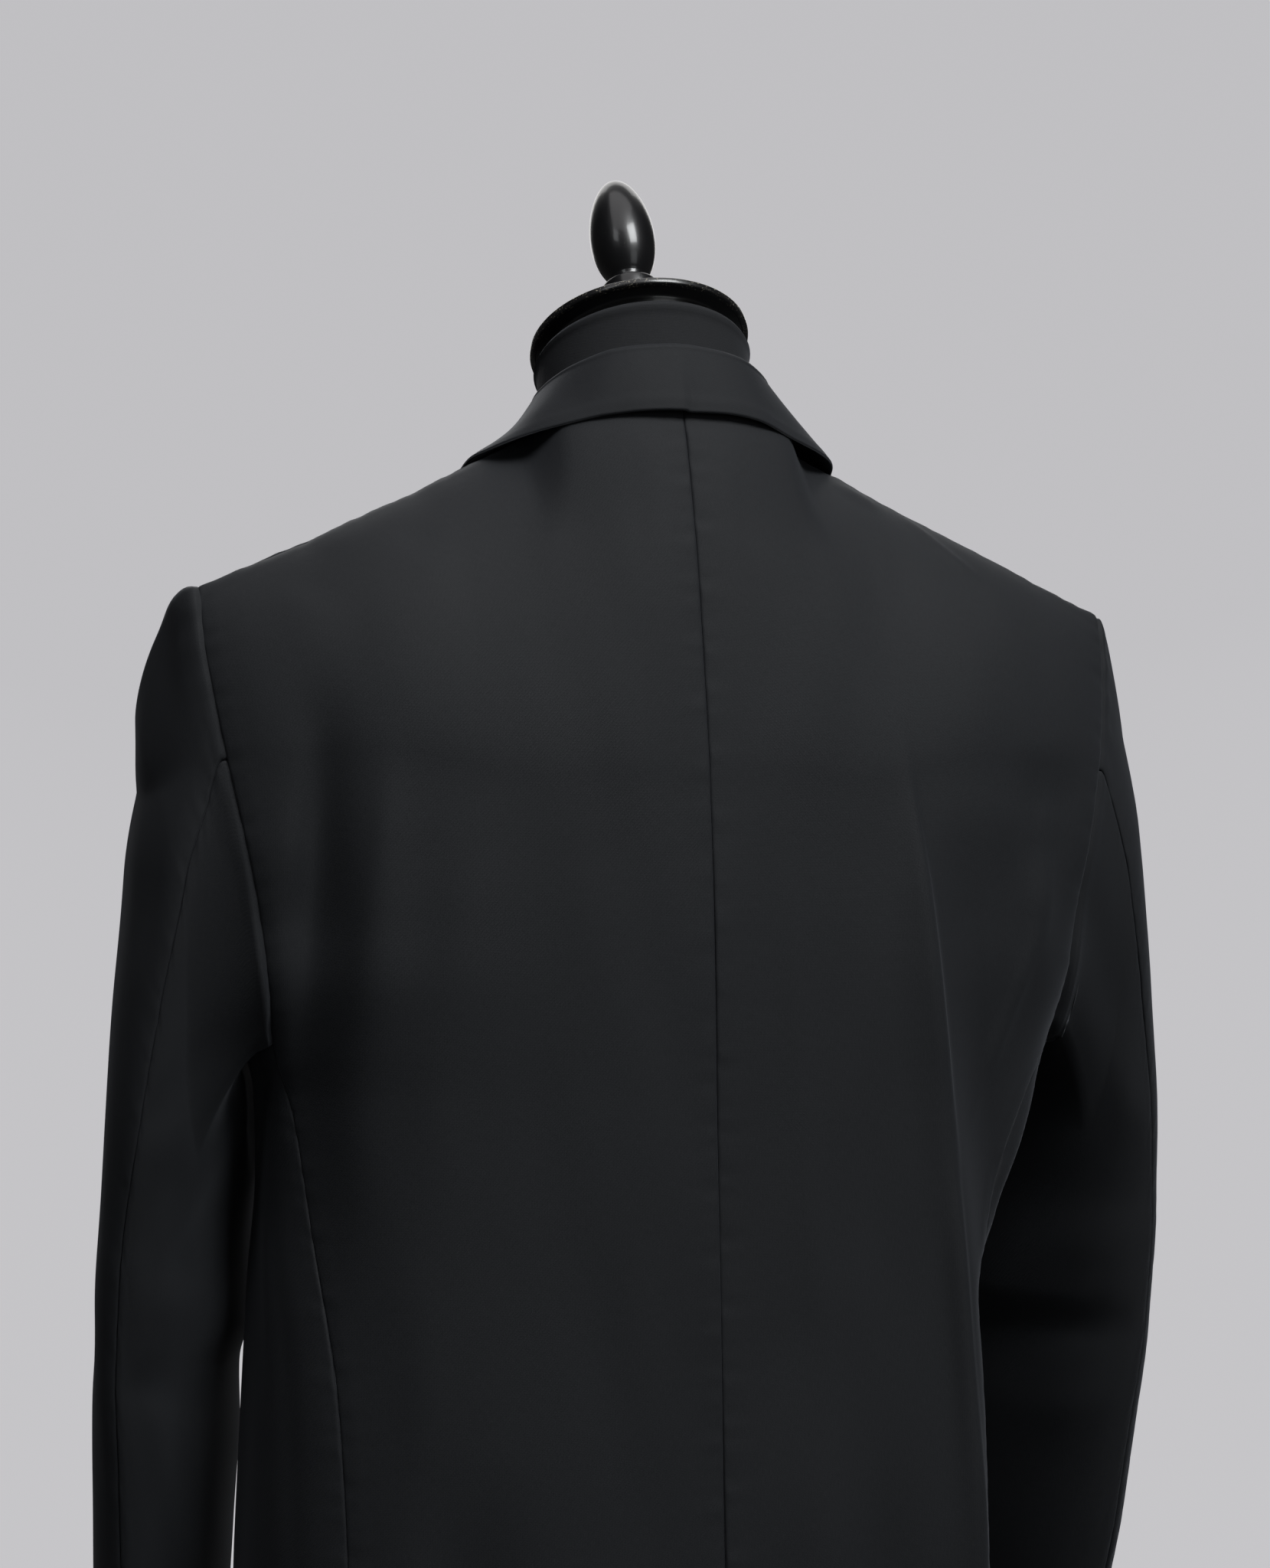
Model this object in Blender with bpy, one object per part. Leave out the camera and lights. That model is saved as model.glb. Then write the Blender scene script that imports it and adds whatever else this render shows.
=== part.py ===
"""A black two-button blazer on a limbless dress form with a turned cap, a finial and a plain round stand.

Metres, +Z up. The front faces -Y, so the wearer's left is +X. The origin is the middle of the stand's
underside. Every cloth piece is a thin wall: a grid of points on the garment's surface, moved out and in
by half the cloth's thickness.
"""

import math

import bmesh
import bpy
import numpy as np

LEFT, RIGHT = 1.0, -1.0

# Cloth and seams
CLOTH = 0.0020
HALF_GAP = 0.00018
LAYER = 0.0034
ROLL_LAYER = 0.0031
OVERLAP_SHIFT = 0.0014
OVERLAP_END_X, OVERLAP_FADE = 0.045, 0.020

# Heights and corners of the garment
HEM_Z = 0.165
CUFF_Z = 0.185
BACK_SEAM_TOP_Z = 0.575
FRONT_SEAM_TOP_Z = 0.585
UNDERARM_DIP = 0.010
BREAK_Z = 0.470
OVERLAP = 0.020
HEM_CORNER, HEM_ROUND = 0.085, 0.96
SHOULDER_TIP = (0.2540, 0.034, 0.806)
NECK_POINT = (0.080, 0.012, 0.892)
BACK_NECK = (0.0, 0.052, 0.912)
SHOULDER_SAG = 0.002
ROLL_TOP_X = 0.069

# The body's level sections: a superellipse with its own depth at the back and at the front.
SECTION_COLUMNS = ("z", "half_width", "back", "front", "back_squareness", "front_squareness")
SECTIONS = (
    (0.160, 0.2260, 0.129, 0.127, 3.3, 2.5),
    (0.230, 0.2250, 0.127, 0.125, 3.3, 2.5),
    (0.300, 0.2245, 0.124, 0.123, 3.3, 2.5),
    (0.374, 0.2215, 0.120, 0.120, 3.3, 2.5),
    (0.440, 0.2180, 0.116, 0.120, 3.3, 2.5),
    (0.500, 0.2145, 0.113, 0.121, 3.3, 2.5),
    (0.545, 0.2155, 0.111, 0.122, 3.3, 2.5),
    (0.575, 0.2235, 0.110, 0.122, 3.3, 2.5),
    (0.600, 0.2340, 0.109, 0.122, 3.3, 2.5),
    (0.640, 0.2500, 0.107, 0.120, 2.9, 2.5),
    (0.680, 0.2700, 0.1035, 0.118, 2.6, 2.5),
    (0.720, 0.2750, 0.100, 0.116, 2.5, 2.5),
    (0.790, 0.2750, 0.098, 0.112, 2.5, 2.5),
    (0.920, 0.2750, 0.098, 0.108, 2.5, 2.5),
)

# Where the panels' side edges run: seams below the armhole, the armhole's edge above.
BACK_EDGE_COLUMNS = ("z", "left", "right")
BACK_EDGE = (
    (0.160, 0.1840, 0.1700),
    (0.312, 0.1870, 0.1630),
    (0.400, 0.1910, 0.1600),
    (0.474, 0.1985, 0.1640),
    (0.510, 0.2020, 0.1760),
    (0.540, 0.2060, 0.1930),
    (0.575, 0.2165, 0.2165),
    (0.600, 0.2210, 0.2210),
    (0.640, 0.2266, 0.2266),
    (0.680, 0.2344, 0.2344),
    (0.720, 0.2426, 0.2426),
    (0.760, 0.2497, 0.2497),
    (0.780, 0.2526, 0.2526),
    (0.806, 0.2540, 0.2540),
)
FRONT_EDGE_COLUMNS = ("z", "x")
FRONT_EDGE = (
    (0.160, 0.200),
    (0.300, 0.196),
    (0.480, 0.186),
    (0.585, 0.198),
    (0.640, 0.194),
    (0.700, 0.197),
    (0.745, 0.211),
    (0.780, 0.233),
    (0.806, 0.254),
)

# How the cloth rounds over the shoulder: the height it takes and how round it is, across the shoulder.
ROUND_COLUMNS = ("x", "back_height", "back_power", "front_height", "front_power")
ROUNDING = (
    (0.000, 0.200, 1.40, 0.200, 1.50),
    (0.080, 0.180, 1.50, 0.190, 1.60),
    (0.170, 0.120, 1.75, 0.150, 1.70),
    (0.254, 0.090, 1.75, 0.120, 1.70),
)

# Soft folds of the back: a line from top to foot, its half width, and how far it stands out.
FOLD_COLUMNS = ("side", "top_x", "top_z", "foot_x", "foot_z", "half_width", "height")
FOLD_FADE = 0.4
FOLDS = (
    (LEFT, 0.196, 0.790, 0.206, 0.380, 0.015, -0.0140),
    (LEFT, 0.128, 0.380, 0.130, 0.120, 0.022, -0.0045),
    (LEFT, 0.060, 0.330, 0.052, 0.110, 0.026, 0.0035),
    (RIGHT, 0.057, 0.430, 0.060, 0.110, 0.022, 0.0045),
    (RIGHT, 0.092, 0.360, 0.097, 0.110, 0.018, -0.0035),
    (RIGHT, 0.205, 0.735, 0.198, 0.640, 0.018, -0.0050),
)

# The right back's long drape fold: where its ridge runs, how far it stands out, and the fall beyond it.
RIDGE_COLUMNS = ("z", "x", "height", "fall")
RIDGE = (
    (0.100, 0.1440, 0.0045, 0.150),
    (0.293, 0.1410, 0.0050, 0.160),
    (0.397, 0.1390, 0.0050, 0.170),
    (0.500, 0.1310, 0.0045, 0.160),
    (0.555, 0.1240, 0.0040, 0.130),
    (0.638, 0.1150, 0.0030, 0.060),
    (0.700, 0.1090, 0.0010, 0.000),
    (0.760, 0.1050, 0.0000, 0.000),
)
RIDGE_HALF_WIDTH = 0.012
RIDGE_FALL_WIDTH = 0.040
RIDGE_END_Z, RIDGE_FADE = 0.70, 0.08

# How the right side is pulled in beyond the fold: where the pull starts and how far it goes.
DRAW_COLUMNS = ("z", "start", "pull")
DRAW = (
    (0.100, 0.139, 0.046),
    (0.430, 0.139, 0.046),
    (0.480, 0.162, 0.030),
    (0.520, 0.190, 0.013),
    (0.555, 0.205, 0.000),
    (0.900, 0.205, 0.000),
)

# The sleeve's level sections: a superellipse whose back edge is turned outwards by turn degrees.
SLEEVE_COLUMNS = ("z", "left_x", "right_x", "y", "half_depth", "half_thickness", "turn")
SLEEVE = (
    (0.185, 0.2505, 0.2505, -0.1010, 0.0700, 0.0270, 22.0),
    (0.300, 0.2515, 0.2515, -0.0776, 0.0815, 0.0299, 24.4),
    (0.350, 0.2520, 0.2520, -0.0658, 0.0818, 0.0300, 26.0),
    (0.395, 0.2538, 0.2538, -0.0556, 0.0810, 0.0284, 27.3),
    (0.422, 0.2499, 0.2499, -0.0518, 0.0838, 0.0312, 29.4),
    (0.470, 0.2485, 0.2485, -0.0476, 0.0874, 0.0307, 28.2),
    (0.530, 0.2473, 0.2473, -0.0378, 0.0868, 0.0340, 24.6),
    (0.596, 0.2466, 0.2466, -0.0328, 0.0862, 0.0364, 18.3),
    (0.660, 0.2470, 0.2480, -0.0230, 0.0795, 0.0350, 11.0),
    (0.720, 0.2400, 0.2460, -0.0160, 0.0720, 0.0335, 7.0),
    (0.770, 0.2250, 0.2410, -0.0060, 0.0620, 0.0305, 4.0),
    (0.806, 0.2205, 0.2350, 0.0020, 0.0520, 0.0280, 0.0),
)
SLEEVE_SQUARENESS = 2.0
BODY_CLEARANCE = 0.0042

# Where the armhole's corners sit round the sleeve, in degrees from the elbow seam over the top.
TIP_TURN, FRONT_SEAM_TURN, FRONT_CORNER_TURN, BACK_CORNER_TURN = 82, 200, 236, 314
ELBOW_PITCH_ROW = 6
FRONT_PITCH_ROW = 3
SLEEVE_ROWS = 17
SLEEVE_SPACING = 1.35

# Where the sleeve's cloth starts and how far it stands out as it leaves
# the armhole, over it and under the arm.
HEAD_START, UNDER_START = 0.0006, 0.0017
HEAD_LEAVE, UNDER_LEAVE = 0.0030, 0.0050
UNDER_TURNS = (205, 350)
UNDER_BLEND = 30

# How far down the sleeve has its own section: over the head, and less at the lowest point of the armhole.
HEAD_HEIGHT, LOW_HEIGHT = 0.060, 0.030
LOW_TURN, LOW_SPREAD = 272, 26
HEAD_POWER = 1.6

# Soft folds of the sleeves: height, place round the sleeve, half widths and how far each stands out.
SLEEVE_FOLD_COLUMNS = ("side", "z", "turn", "half_height", "half_turn", "slant", "height")
SLEEVE_FOLDS = (
    (LEFT, 0.440, 320, 0.016, 38, 0.00020, 0.0040),
    (LEFT, 0.398, 330, 0.013, 34, 0.00015, -0.0040),
    (LEFT, 0.505, 340, 0.018, 30, 0.00030, -0.0030),
    (LEFT, 0.420, 60, 0.020, 40, 0.00010, -0.0025),
    (RIGHT, 0.455, 335, 0.018, 36, 0.00020, 0.0035),
    (RIGHT, 0.405, 325, 0.014, 34, 0.00015, -0.0035),
    (RIGHT, 0.360, 330, 0.016, 30, 0.00030, 0.0025),
    (RIGHT, 0.430, 55, 0.020, 40, 0.00010, -0.0025),
)

# The collar, from the middle of the back to its front end: the stand's foot, the fold and the fall's edge.
COLLAR_COLUMNS = (
    "share", "foot_x", "foot_y", "foot_z", "fold_x", "fold_y", "fold_z", "edge_x", "edge_y", "edge_z",
)
COLLAR = (
    (0.00, 0.0000, 0.0515, 0.9142, 0.0000, 0.0515, 0.9405, 0.0000, 0.0625, 0.9055),
    (0.16, 0.0300, 0.0483, 0.9130, 0.0280, 0.0478, 0.9380, 0.0330, 0.0597, 0.9045),
    (0.32, 0.0560, 0.0393, 0.9078, 0.0500, 0.0360, 0.9310, 0.0700, 0.0462, 0.8955),
    (0.46, 0.0735, 0.0235, 0.8992, 0.0605, 0.0190, 0.9250, 0.0945, 0.0300, 0.8880),
    (0.60, 0.0752, 0.0085, 0.8925, 0.0640, 0.0020, 0.9180, 0.1045, 0.0080, 0.8842),
    (0.74, 0.0665, -0.0080, 0.8855, 0.0648, -0.0165, 0.8995, 0.1080, -0.0150, 0.8700),
    (0.87, 0.0625, -0.0225, 0.8740, 0.0638, -0.0300, 0.8820, 0.1065, -0.0345, 0.8560),
    (1.00, 0.0585, -0.0360, 0.8570, 0.0618, -0.0430, 0.8645, 0.1015, -0.0495, 0.8450),
)
COLLAR_FOLD_RADIUS = 0.0022
COLLAR_SWELL = {LEFT: -0.0045, RIGHT: 0.0004}
COLLAR_DROP = {LEFT: 0.0012, RIGHT: 0.0}
COLLAR_LEAN_SHARE, COLLAR_LEAN_WIDTH = 0.58, 0.16
COLLAR_STATIONS = 11
STAND_STEPS, FOLD_STEPS, FALL_STEPS = 3, 5, 5

# The lapel's width out from the roll line, up from the break.
LAPEL_COLUMNS = ("share", "width")
LAPEL = ((0.00, 0.004), (0.25, 0.040), (0.60, 0.072), (0.90, 0.088), (1.00, 0.084))

# Heights of the lapel's top edge, from the roll line out to its tip.
LAPEL_TOP_COLUMNS = ("share", "z")
LAPEL_TOP = ((0.00, 0.8585), (0.17, 0.8535), (0.33, 0.8470), (0.50, 0.8370), (1.00, 0.7990))
LEFT_LAPEL_FOOT_Z, RIGHT_LAPEL_FOOT_Z = 0.478, 0.522
LAPEL_GAP = 0.0006
LAPEL_ROWS, LAPEL_ACROSS = 12, 7

# Pocket flaps and buttons
FLAP_TOP_Z, FLAP_FOOT_Z = 0.372, 0.318
FLAP_INNER_X, FLAP_OUTER_X = 0.056, 0.146
BUTTON_HEIGHTS = {"upper": 0.455, "lower": 0.345}
BUTTON_RADIUS, BUTTON_THICKNESS = 0.0100, 0.0034
BUTTON_LIP, BUTTON_WELL = 0.0016, 0.0009

# The dress form: level sections of its torso, its neck, its turned cap and finial
FORM_COLUMNS = ("z", "half_width", "back", "front", "squareness")
FORM_SECTIONS = (
    (0.200, 0.160, 0.100, 0.096, 2.2),
    (0.300, 0.163, 0.104, 0.098, 2.2),
    (0.400, 0.154, 0.096, 0.094, 2.2),
    (0.470, 0.148, 0.088, 0.094, 2.2),
    (0.575, 0.162, 0.092, 0.105, 2.3),
    (0.680, 0.180, 0.094, 0.108, 2.5),
    (0.760, 0.188, 0.092, 0.097, 2.8),
    (0.920, 0.190, 0.091, 0.090, 3.0),
)
FORM_FOOT_Z = 0.205
FORM_DROP = 0.0017
FORM_NECK_RADIUS = 0.060
FORM_NECK_BACK_Y, FORM_NECK_FRONT_Y = 0.046, -0.048
FORM_NECK_FRONT_Z = 0.862
FORM_NECK_BASE_X = 0.087
NECK_STEPS = 10
FORM_SHARES = (0.45, 0.60, 0.76, 0.90, 0.975, 1.0)

CAP_CENTRE = (0.0, -0.019, 0.955)
CAP_TILT = math.radians(25)
CAP_RADIUS, CAP_RIM = 0.0615, 0.0040
CAP_DOME = 0.026
CAP_BOSS_RADIUS, CAP_BOSS = 0.050, 0.0085
NECK_TOP_RADII = (0.0600, 0.0590)
FINIAL_FLANGE_RADIUS, FINIAL_FLANGE = 0.0165, 0.0110
FINIAL_WAIST_RADIUS, FINIAL_WAIST = 0.0092, 0.0165
FINIAL_EGG_RADIUS, FINIAL_EGG_LENGTH, FINIAL_EGG_START = 0.0184, 0.0724, 0.15
FINIAL_TOP = 0.0850

# The stand
POLE_RADIUS = 0.014
BASE_RADIUS, BASE_THICKNESS, BASE_EDGE = 0.170, 0.014, 0.005
SEAT_GAP = 0.0003

# Rows and columns of the walls. The shoulder's stops are x on the shoulder seam, the neck point's first.
LOWER_ROWS = 14
UPPER_ROWS = 11
UPPER_SPACING = 1.6
NECK_COLUMNS = 3
LEFT_STOPS = (0.080, 0.110, 0.139, 0.164, 0.186, 0.208, 0.231, 0.254)
RIGHT_STOPS = (0.080, 0.095, 0.107, 0.122, 0.145, 0.175, 0.215, 0.254)
RIDGE_STOP = 0.107
SIDE_COLUMNS = 5
ROUND_STEPS = 40


def column_of(table, columns, name):
    """One named column of a table, as an array."""
    return np.array([row[columns.index(name)] for row in table], float)


def smooth(knots, values, at):
    """A cubic through the points that doesn't overshoot them, held level past both ends."""
    knots, values = np.asarray(knots, float), np.asarray(values, float)
    at = np.clip(np.asarray(at, float), knots[0], knots[-1])
    step = np.diff(knots)
    slope = np.diff(values) / step
    tangent = np.zeros(len(knots))
    same_way = slope[:-1] * slope[1:] > 0
    before, after = 2 * step[1:] + step[:-1], step[1:] + 2 * step[:-1]
    with np.errstate(divide="ignore", invalid="ignore"):
        mean = (before + after) / (before / slope[:-1] + after / slope[1:])
    tangent[1:-1] = np.where(same_way, mean, 0.0)
    tangent[0], tangent[-1] = slope[0], slope[-1]
    cell = np.clip(np.searchsorted(knots, at, side="right") - 1, 0, len(step) - 1)
    width = step[cell]
    t = (at - knots[cell]) / width
    return (
        (1 + 2 * t) * (1 - t) ** 2 * values[cell]
        + t * (1 - t) ** 2 * width * tangent[cell]
        + t**2 * (3 - 2 * t) * values[cell + 1]
        + t**2 * (t - 1) * width * tangent[cell + 1]
    )


def table_value(table, columns, name, at):
    """A table's named column at a value of its first column."""
    knots = column_of(table, columns, columns[0])
    return smooth(knots, column_of(table, columns, name), at)


def section(name, z):
    return table_value(SECTIONS, SECTION_COLUMNS, name, z)


def rounding(name, x):
    return table_value(ROUNDING, ROUND_COLUMNS, name, x)


def sleeve_section(name, z):
    return table_value(SLEEVE, SLEEVE_COLUMNS, name, z)


def form_section(name, z):
    return table_value(FORM_SECTIONS, FORM_COLUMNS, name, z)


def ease(t):
    t = np.clip(t, 0.0, 1.0)
    return t * t * (3 - 2 * t)


def mix(a, b, t):
    return a + (b - a) * t


def unit(vectors):
    return vectors / np.linalg.norm(vectors, axis=-1, keepdims=True)


def stack(x, y, z):
    return np.stack(np.broadcast_arrays(x, y, z), axis=-1)


def quarter(share, squareness):
    """A superellipse's height at this share of its half width."""
    inside = np.clip(1 - np.abs(share) ** squareness, 0, 1)
    return inside ** (1 / squareness)


def back_edge_x(side, z):
    name = "left" if side > 0 else "right"
    return table_value(BACK_EDGE, BACK_EDGE_COLUMNS, name, z)


def front_edge_x(z):
    return table_value(FRONT_EDGE, FRONT_EDGE_COLUMNS, "x", z)


def shoulder_y(x):
    t = (x - NECK_POINT[0]) / (SHOULDER_TIP[0] - NECK_POINT[0])
    return mix(NECK_POINT[1], SHOULDER_TIP[1], t)


def shoulder_z(x):
    t = (x - NECK_POINT[0]) / (SHOULDER_TIP[0] - NECK_POINT[0])
    sag = SHOULDER_SAG * np.sin(math.pi * np.clip(t, 0, 1))
    return mix(NECK_POINT[2], SHOULDER_TIP[2], t) - sag


def top_edge(x):
    """(y, z) of the back neckline and the shoulder seam at this distance from the middle."""
    x = np.abs(x)
    bend = np.sqrt(np.clip(1 - (x / NECK_POINT[0]) ** 2, 0, 1))
    neck_y = NECK_POINT[1] + (BACK_NECK[1] - NECK_POINT[1]) * bend
    neck_z = NECK_POINT[2] + (BACK_NECK[2] - NECK_POINT[2]) * bend
    on_neck = x < NECK_POINT[0]
    seam = np.maximum(x, NECK_POINT[0])
    return (
        np.where(on_neck, neck_y, shoulder_y(seam)),
        np.where(on_neck, neck_z, shoulder_z(seam)),
    )


def arch(t, power):
    """Rises from 0 straight up and levels out at 1."""
    return (1 - (1 - np.clip(t, 0, 1)) ** power) ** (1 / power)


def fold_height(side, x, z):
    """How far the back's soft folds stand out at x and z."""
    total = np.zeros(np.broadcast(x, z).shape)
    for row in FOLDS:
        fold = dict(zip(FOLD_COLUMNS, row))
        if fold["side"] != side:
            continue
        t = (fold["top_z"] - z) / (fold["top_z"] - fold["foot_z"])
        line = mix(fold["top_x"], fold["foot_x"], t)
        ends = ease(t / FOLD_FADE) * ease((1 - t) / FOLD_FADE)
        bump = np.exp(-(((np.abs(x) - line) / fold["half_width"]) ** 2))
        total = total + fold["height"] * bump * ends
    return total


def drawn_in(side, x, z):
    """x with the right side pulled in towards the body beyond its long fold."""
    if side > 0:
        return x
    start = table_value(DRAW, DRAW_COLUMNS, "start", z)
    pull = table_value(DRAW, DRAW_COLUMNS, "pull", z)
    return x - pull * ease((x - start) / (section("half_width", z) - start))


def draped(side, x, y, z):
    """Adds the back's folds to y, for points behind the side seam's middle."""
    y = y + fold_height(side, x, z)
    if side > 0:
        return y
    line = table_value(RIDGE, RIDGE_COLUMNS, "x", z)
    beyond = ease((np.abs(x) - line) / RIDGE_FALL_WIDTH)
    fall = table_value(RIDGE, RIDGE_COLUMNS, "fall", z)
    height = table_value(RIDGE, RIDGE_COLUMNS, "height", z)
    bump = np.exp(-(((np.abs(x) - line) / RIDGE_HALF_WIDTH) ** 2))
    return y * (1 - fall * beyond) + height * bump


def back_y(side, x, z):
    """The back's surface, as y over x and z."""
    share = np.abs(x) / section("half_width", z)
    full = section("back", z) * quarter(share, section("back_squareness", z))
    seam_y, seam_z = top_edge(x)
    rise = arch((seam_z - z) / rounding("back_height", np.abs(x)), rounding("back_power", np.abs(x)))
    return draped(side, x, mix(seam_y, full, rise), z)


def overlap_shift(side, x):
    """How far a front stands out where the two fronts cross, so that the left one lies over the right."""
    across = ease((OVERLAP_END_X - x) / OVERLAP_FADE)
    return side * OVERLAP_SHIFT * across


def front_y(side, x, z):
    """The front's surface, as y over its own x, counted from the middle to its own side, and z."""
    share = np.abs(x) / section("half_width", z)
    full = -section("front", z) * quarter(share, section("front_squareness", z))
    seam = np.maximum(np.abs(x), NECK_POINT[0])
    drop = shoulder_z(seam) - z
    rise = arch(drop / rounding("front_height", np.abs(x)), rounding("front_power", np.abs(x)))
    return mix(shoulder_y(seam), full, rise) - overlap_shift(side, x)


def front_point(side, x, z):
    """The front panel's points, on the left side, at its own x and z."""
    return stack(drawn_in(side, x, z), front_y(side, x, z), z)


def on_front(side, x, z, lift):
    """Points that lie lift above the front panel at its own x and z."""
    step = 0.001
    across = front_point(side, x + step, z) - front_point(side, x - step, z)
    up = front_point(side, x, z + step) - front_point(side, x, z - step)
    normal = unit(np.cross(across, up))
    points = front_point(side, x, z) + normal * np.asarray(lift)[..., None]
    return points * (side, 1, 1)


def lower_shares():
    return np.linspace(0, 1, LOWER_ROWS)


def upper_drops():
    """Shares of the way down from the top edge, closer together near it, from 1 to 0."""
    return np.linspace(1, 0, UPPER_ROWS + 1)[1:] ** UPPER_SPACING


def seam_stops(side):
    return np.array(LEFT_STOPS if side > 0 else RIGHT_STOPS)


def column_x(side, stops, edge, z):
    """Where the back's columns lie at z: evenly drawn in on the left, and along the ridge on the right."""
    if side > 0:
        return stops / SHOULDER_TIP[0] * edge
    ridge = table_value(RIDGE, RIDGE_COLUMNS, "x", z)
    inner = stops / RIDGE_STOP * ridge
    outer = mix(ridge, edge, (stops - RIDGE_STOP) / (SHOULDER_TIP[0] - RIDGE_STOP))
    along = np.where(stops < RIDGE_STOP, inner, outer)
    plain = stops / SHOULDER_TIP[0] * edge
    return mix(along, plain, ease((z - RIDGE_END_Z) / RIDGE_FADE))


def back_grid(side):
    """Half of the back: rows from the hem up, columns from the middle seam out."""
    neck = np.linspace(0, NECK_POINT[0], NECK_COLUMNS, endpoint=False)
    stops = np.concatenate((neck, seam_stops(side)))
    top_z = top_edge(stops)[1]
    rows = []
    for share in lower_shares():
        z = np.full(len(stops), mix(HEM_Z, BACK_SEAM_TOP_Z, share))
        rows.append((column_x(side, stops, back_edge_x(side, z), z), z))
    for drop in upper_drops():
        z = mix(top_z, BACK_SEAM_TOP_Z, drop)
        edge = back_edge_x(side, mix(SHOULDER_TIP[2], BACK_SEAM_TOP_Z, drop))
        rows.append((column_x(side, stops, edge, z), z))
    x, z = (np.array([row[i] for row in rows]) for i in (0, 1))
    x[-1] = stops
    return stack(side * drawn_in(side, x, z), back_y(side, x, z), z)


def side_grid(side):
    """The side panel: rows from the hem up to the underarm, columns from the back seam forward."""
    across = np.linspace(0, 1, SIDE_COLUMNS)
    dip = UNDERARM_DIP * np.sin(math.pi * across)
    top = mix(BACK_SEAM_TOP_Z, FRONT_SEAM_TOP_Z, across) - dip
    rows = []
    for share in lower_shares():
        z = mix(HEM_Z, top, share)
        width = section("half_width", z)
        back_power, front_power = section("back_squareness", z), section("front_squareness", z)
        back = np.arccos((back_edge_x(side, z) / width) ** (back_power / 2))
        front = -np.arccos((front_edge_x(z) / width) ** (front_power / 2))
        turn = mix(back, front, across)
        power = np.where(turn > 0, back_power, front_power)
        x = width * np.cos(turn) ** (2 / power)
        depth = np.where(turn > 0, section("back", z), -section("front", z))
        y = depth * np.abs(np.sin(turn)) ** (2 / power)
        y = np.where(turn > 0, draped(side, x, y, z), y)
        rows.append(stack(side * drawn_in(side, x, z), y, z))
    return np.array(rows)


def front_inner_x(z):
    """The front's inner edge: the roll line above the break, the buttoning edge and hem corner below it."""
    roll = mix(-OVERLAP, ROLL_TOP_X, np.clip((z - BREAK_Z) / (NECK_POINT[2] - BREAK_Z), 0, 1))
    corner = np.clip((HEM_Z + HEM_CORNER - z) / HEM_CORNER, 0, 1)
    cut = HEM_CORNER * (1 - np.sqrt(1 - HEM_ROUND * corner**2))
    return np.where(z > BREAK_Z, roll, -OVERLAP + cut)


def front_grid(side):
    """Half of the front: rows from the hem up, columns from the side seam or armhole in."""
    seam_x = seam_stops(side)[::-1]
    across = (SHOULDER_TIP[0] - seam_x) / (SHOULDER_TIP[0] - NECK_POINT[0])
    rows = []
    for share in lower_shares():
        z = np.full(len(across), mix(HEM_Z, FRONT_SEAM_TOP_Z, share))
        rows.append((mix(front_edge_x(z), front_inner_x(z), across), z))
    top_z = shoulder_z(seam_x)
    for drop in upper_drops():
        z = mix(top_z, FRONT_SEAM_TOP_Z, drop)
        outer = front_edge_x(mix(SHOULDER_TIP[2], FRONT_SEAM_TOP_Z, drop))
        x = mix(mix(outer, front_inner_x(z), across), seam_x, ease(1 - drop) ** 3)
        rows.append((x, z))
    x, z = (np.array([row[i] for row in rows]) for i in (0, 1))
    return stack(side * drawn_in(side, x, z), front_y(side, x, z), z)


def grid_normals(grid, out):
    """Unit normals at a grid's points, from the quads round each, on the side that out points to."""
    normal = np.zeros_like(grid)
    along, across = np.diff(grid, axis=0), np.diff(grid, axis=1)
    for i in (0, 1):
        for j in (0, 1):
            corner = np.cross(across[i : len(grid) - 1 + i], along[:, j : grid.shape[1] - 1 + j])
            corner = unit(corner)
            rows = slice(i, len(grid) - 1 + i)
            columns = slice(j, grid.shape[1] - 1 + j)
            normal[rows, columns] += corner
    normal = unit(normal)
    return normal if np.sum(normal * out) > 0 else -normal


def share_edge(first, second):
    """Gives two panels that meet at an edge the same normals there."""
    mean = unit(first + second)
    first[:] = mean
    second[:] = mean


def closed_mesh(name, points, faces):
    """A mesh with its double points joined and its faces turned outwards."""
    mesh = bpy.data.meshes.new(name)
    mesh.from_pydata(np.asarray(points).tolist(), [], faces)
    work = bmesh.new()
    work.from_mesh(mesh)
    bmesh.ops.remove_doubles(work, verts=work.verts, dist=0.00001)
    bmesh.ops.recalc_face_normals(work, faces=work.faces)
    work.to_mesh(mesh)
    work.free()
    return mesh


def grid_faces(grid, start=0):
    """Two triangles for each cell of a grid numbered row by row, cut along the shorter diagonal."""
    rows, columns = grid.shape[:2]
    faces = []
    for i in range(rows - 1):
        for j in range(columns - 1):
            a = start + i * columns + j
            b, c, d = a + 1, a + columns + 1, a + columns
            rising = np.linalg.norm(grid[i + 1, j + 1] - grid[i, j])
            falling = np.linalg.norm(grid[i + 1, j] - grid[i, j + 1])
            faces += [[a, b, c], [a, c, d]] if rising <= falling else [[a, b, d], [b, c, d]]
    return faces


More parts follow.
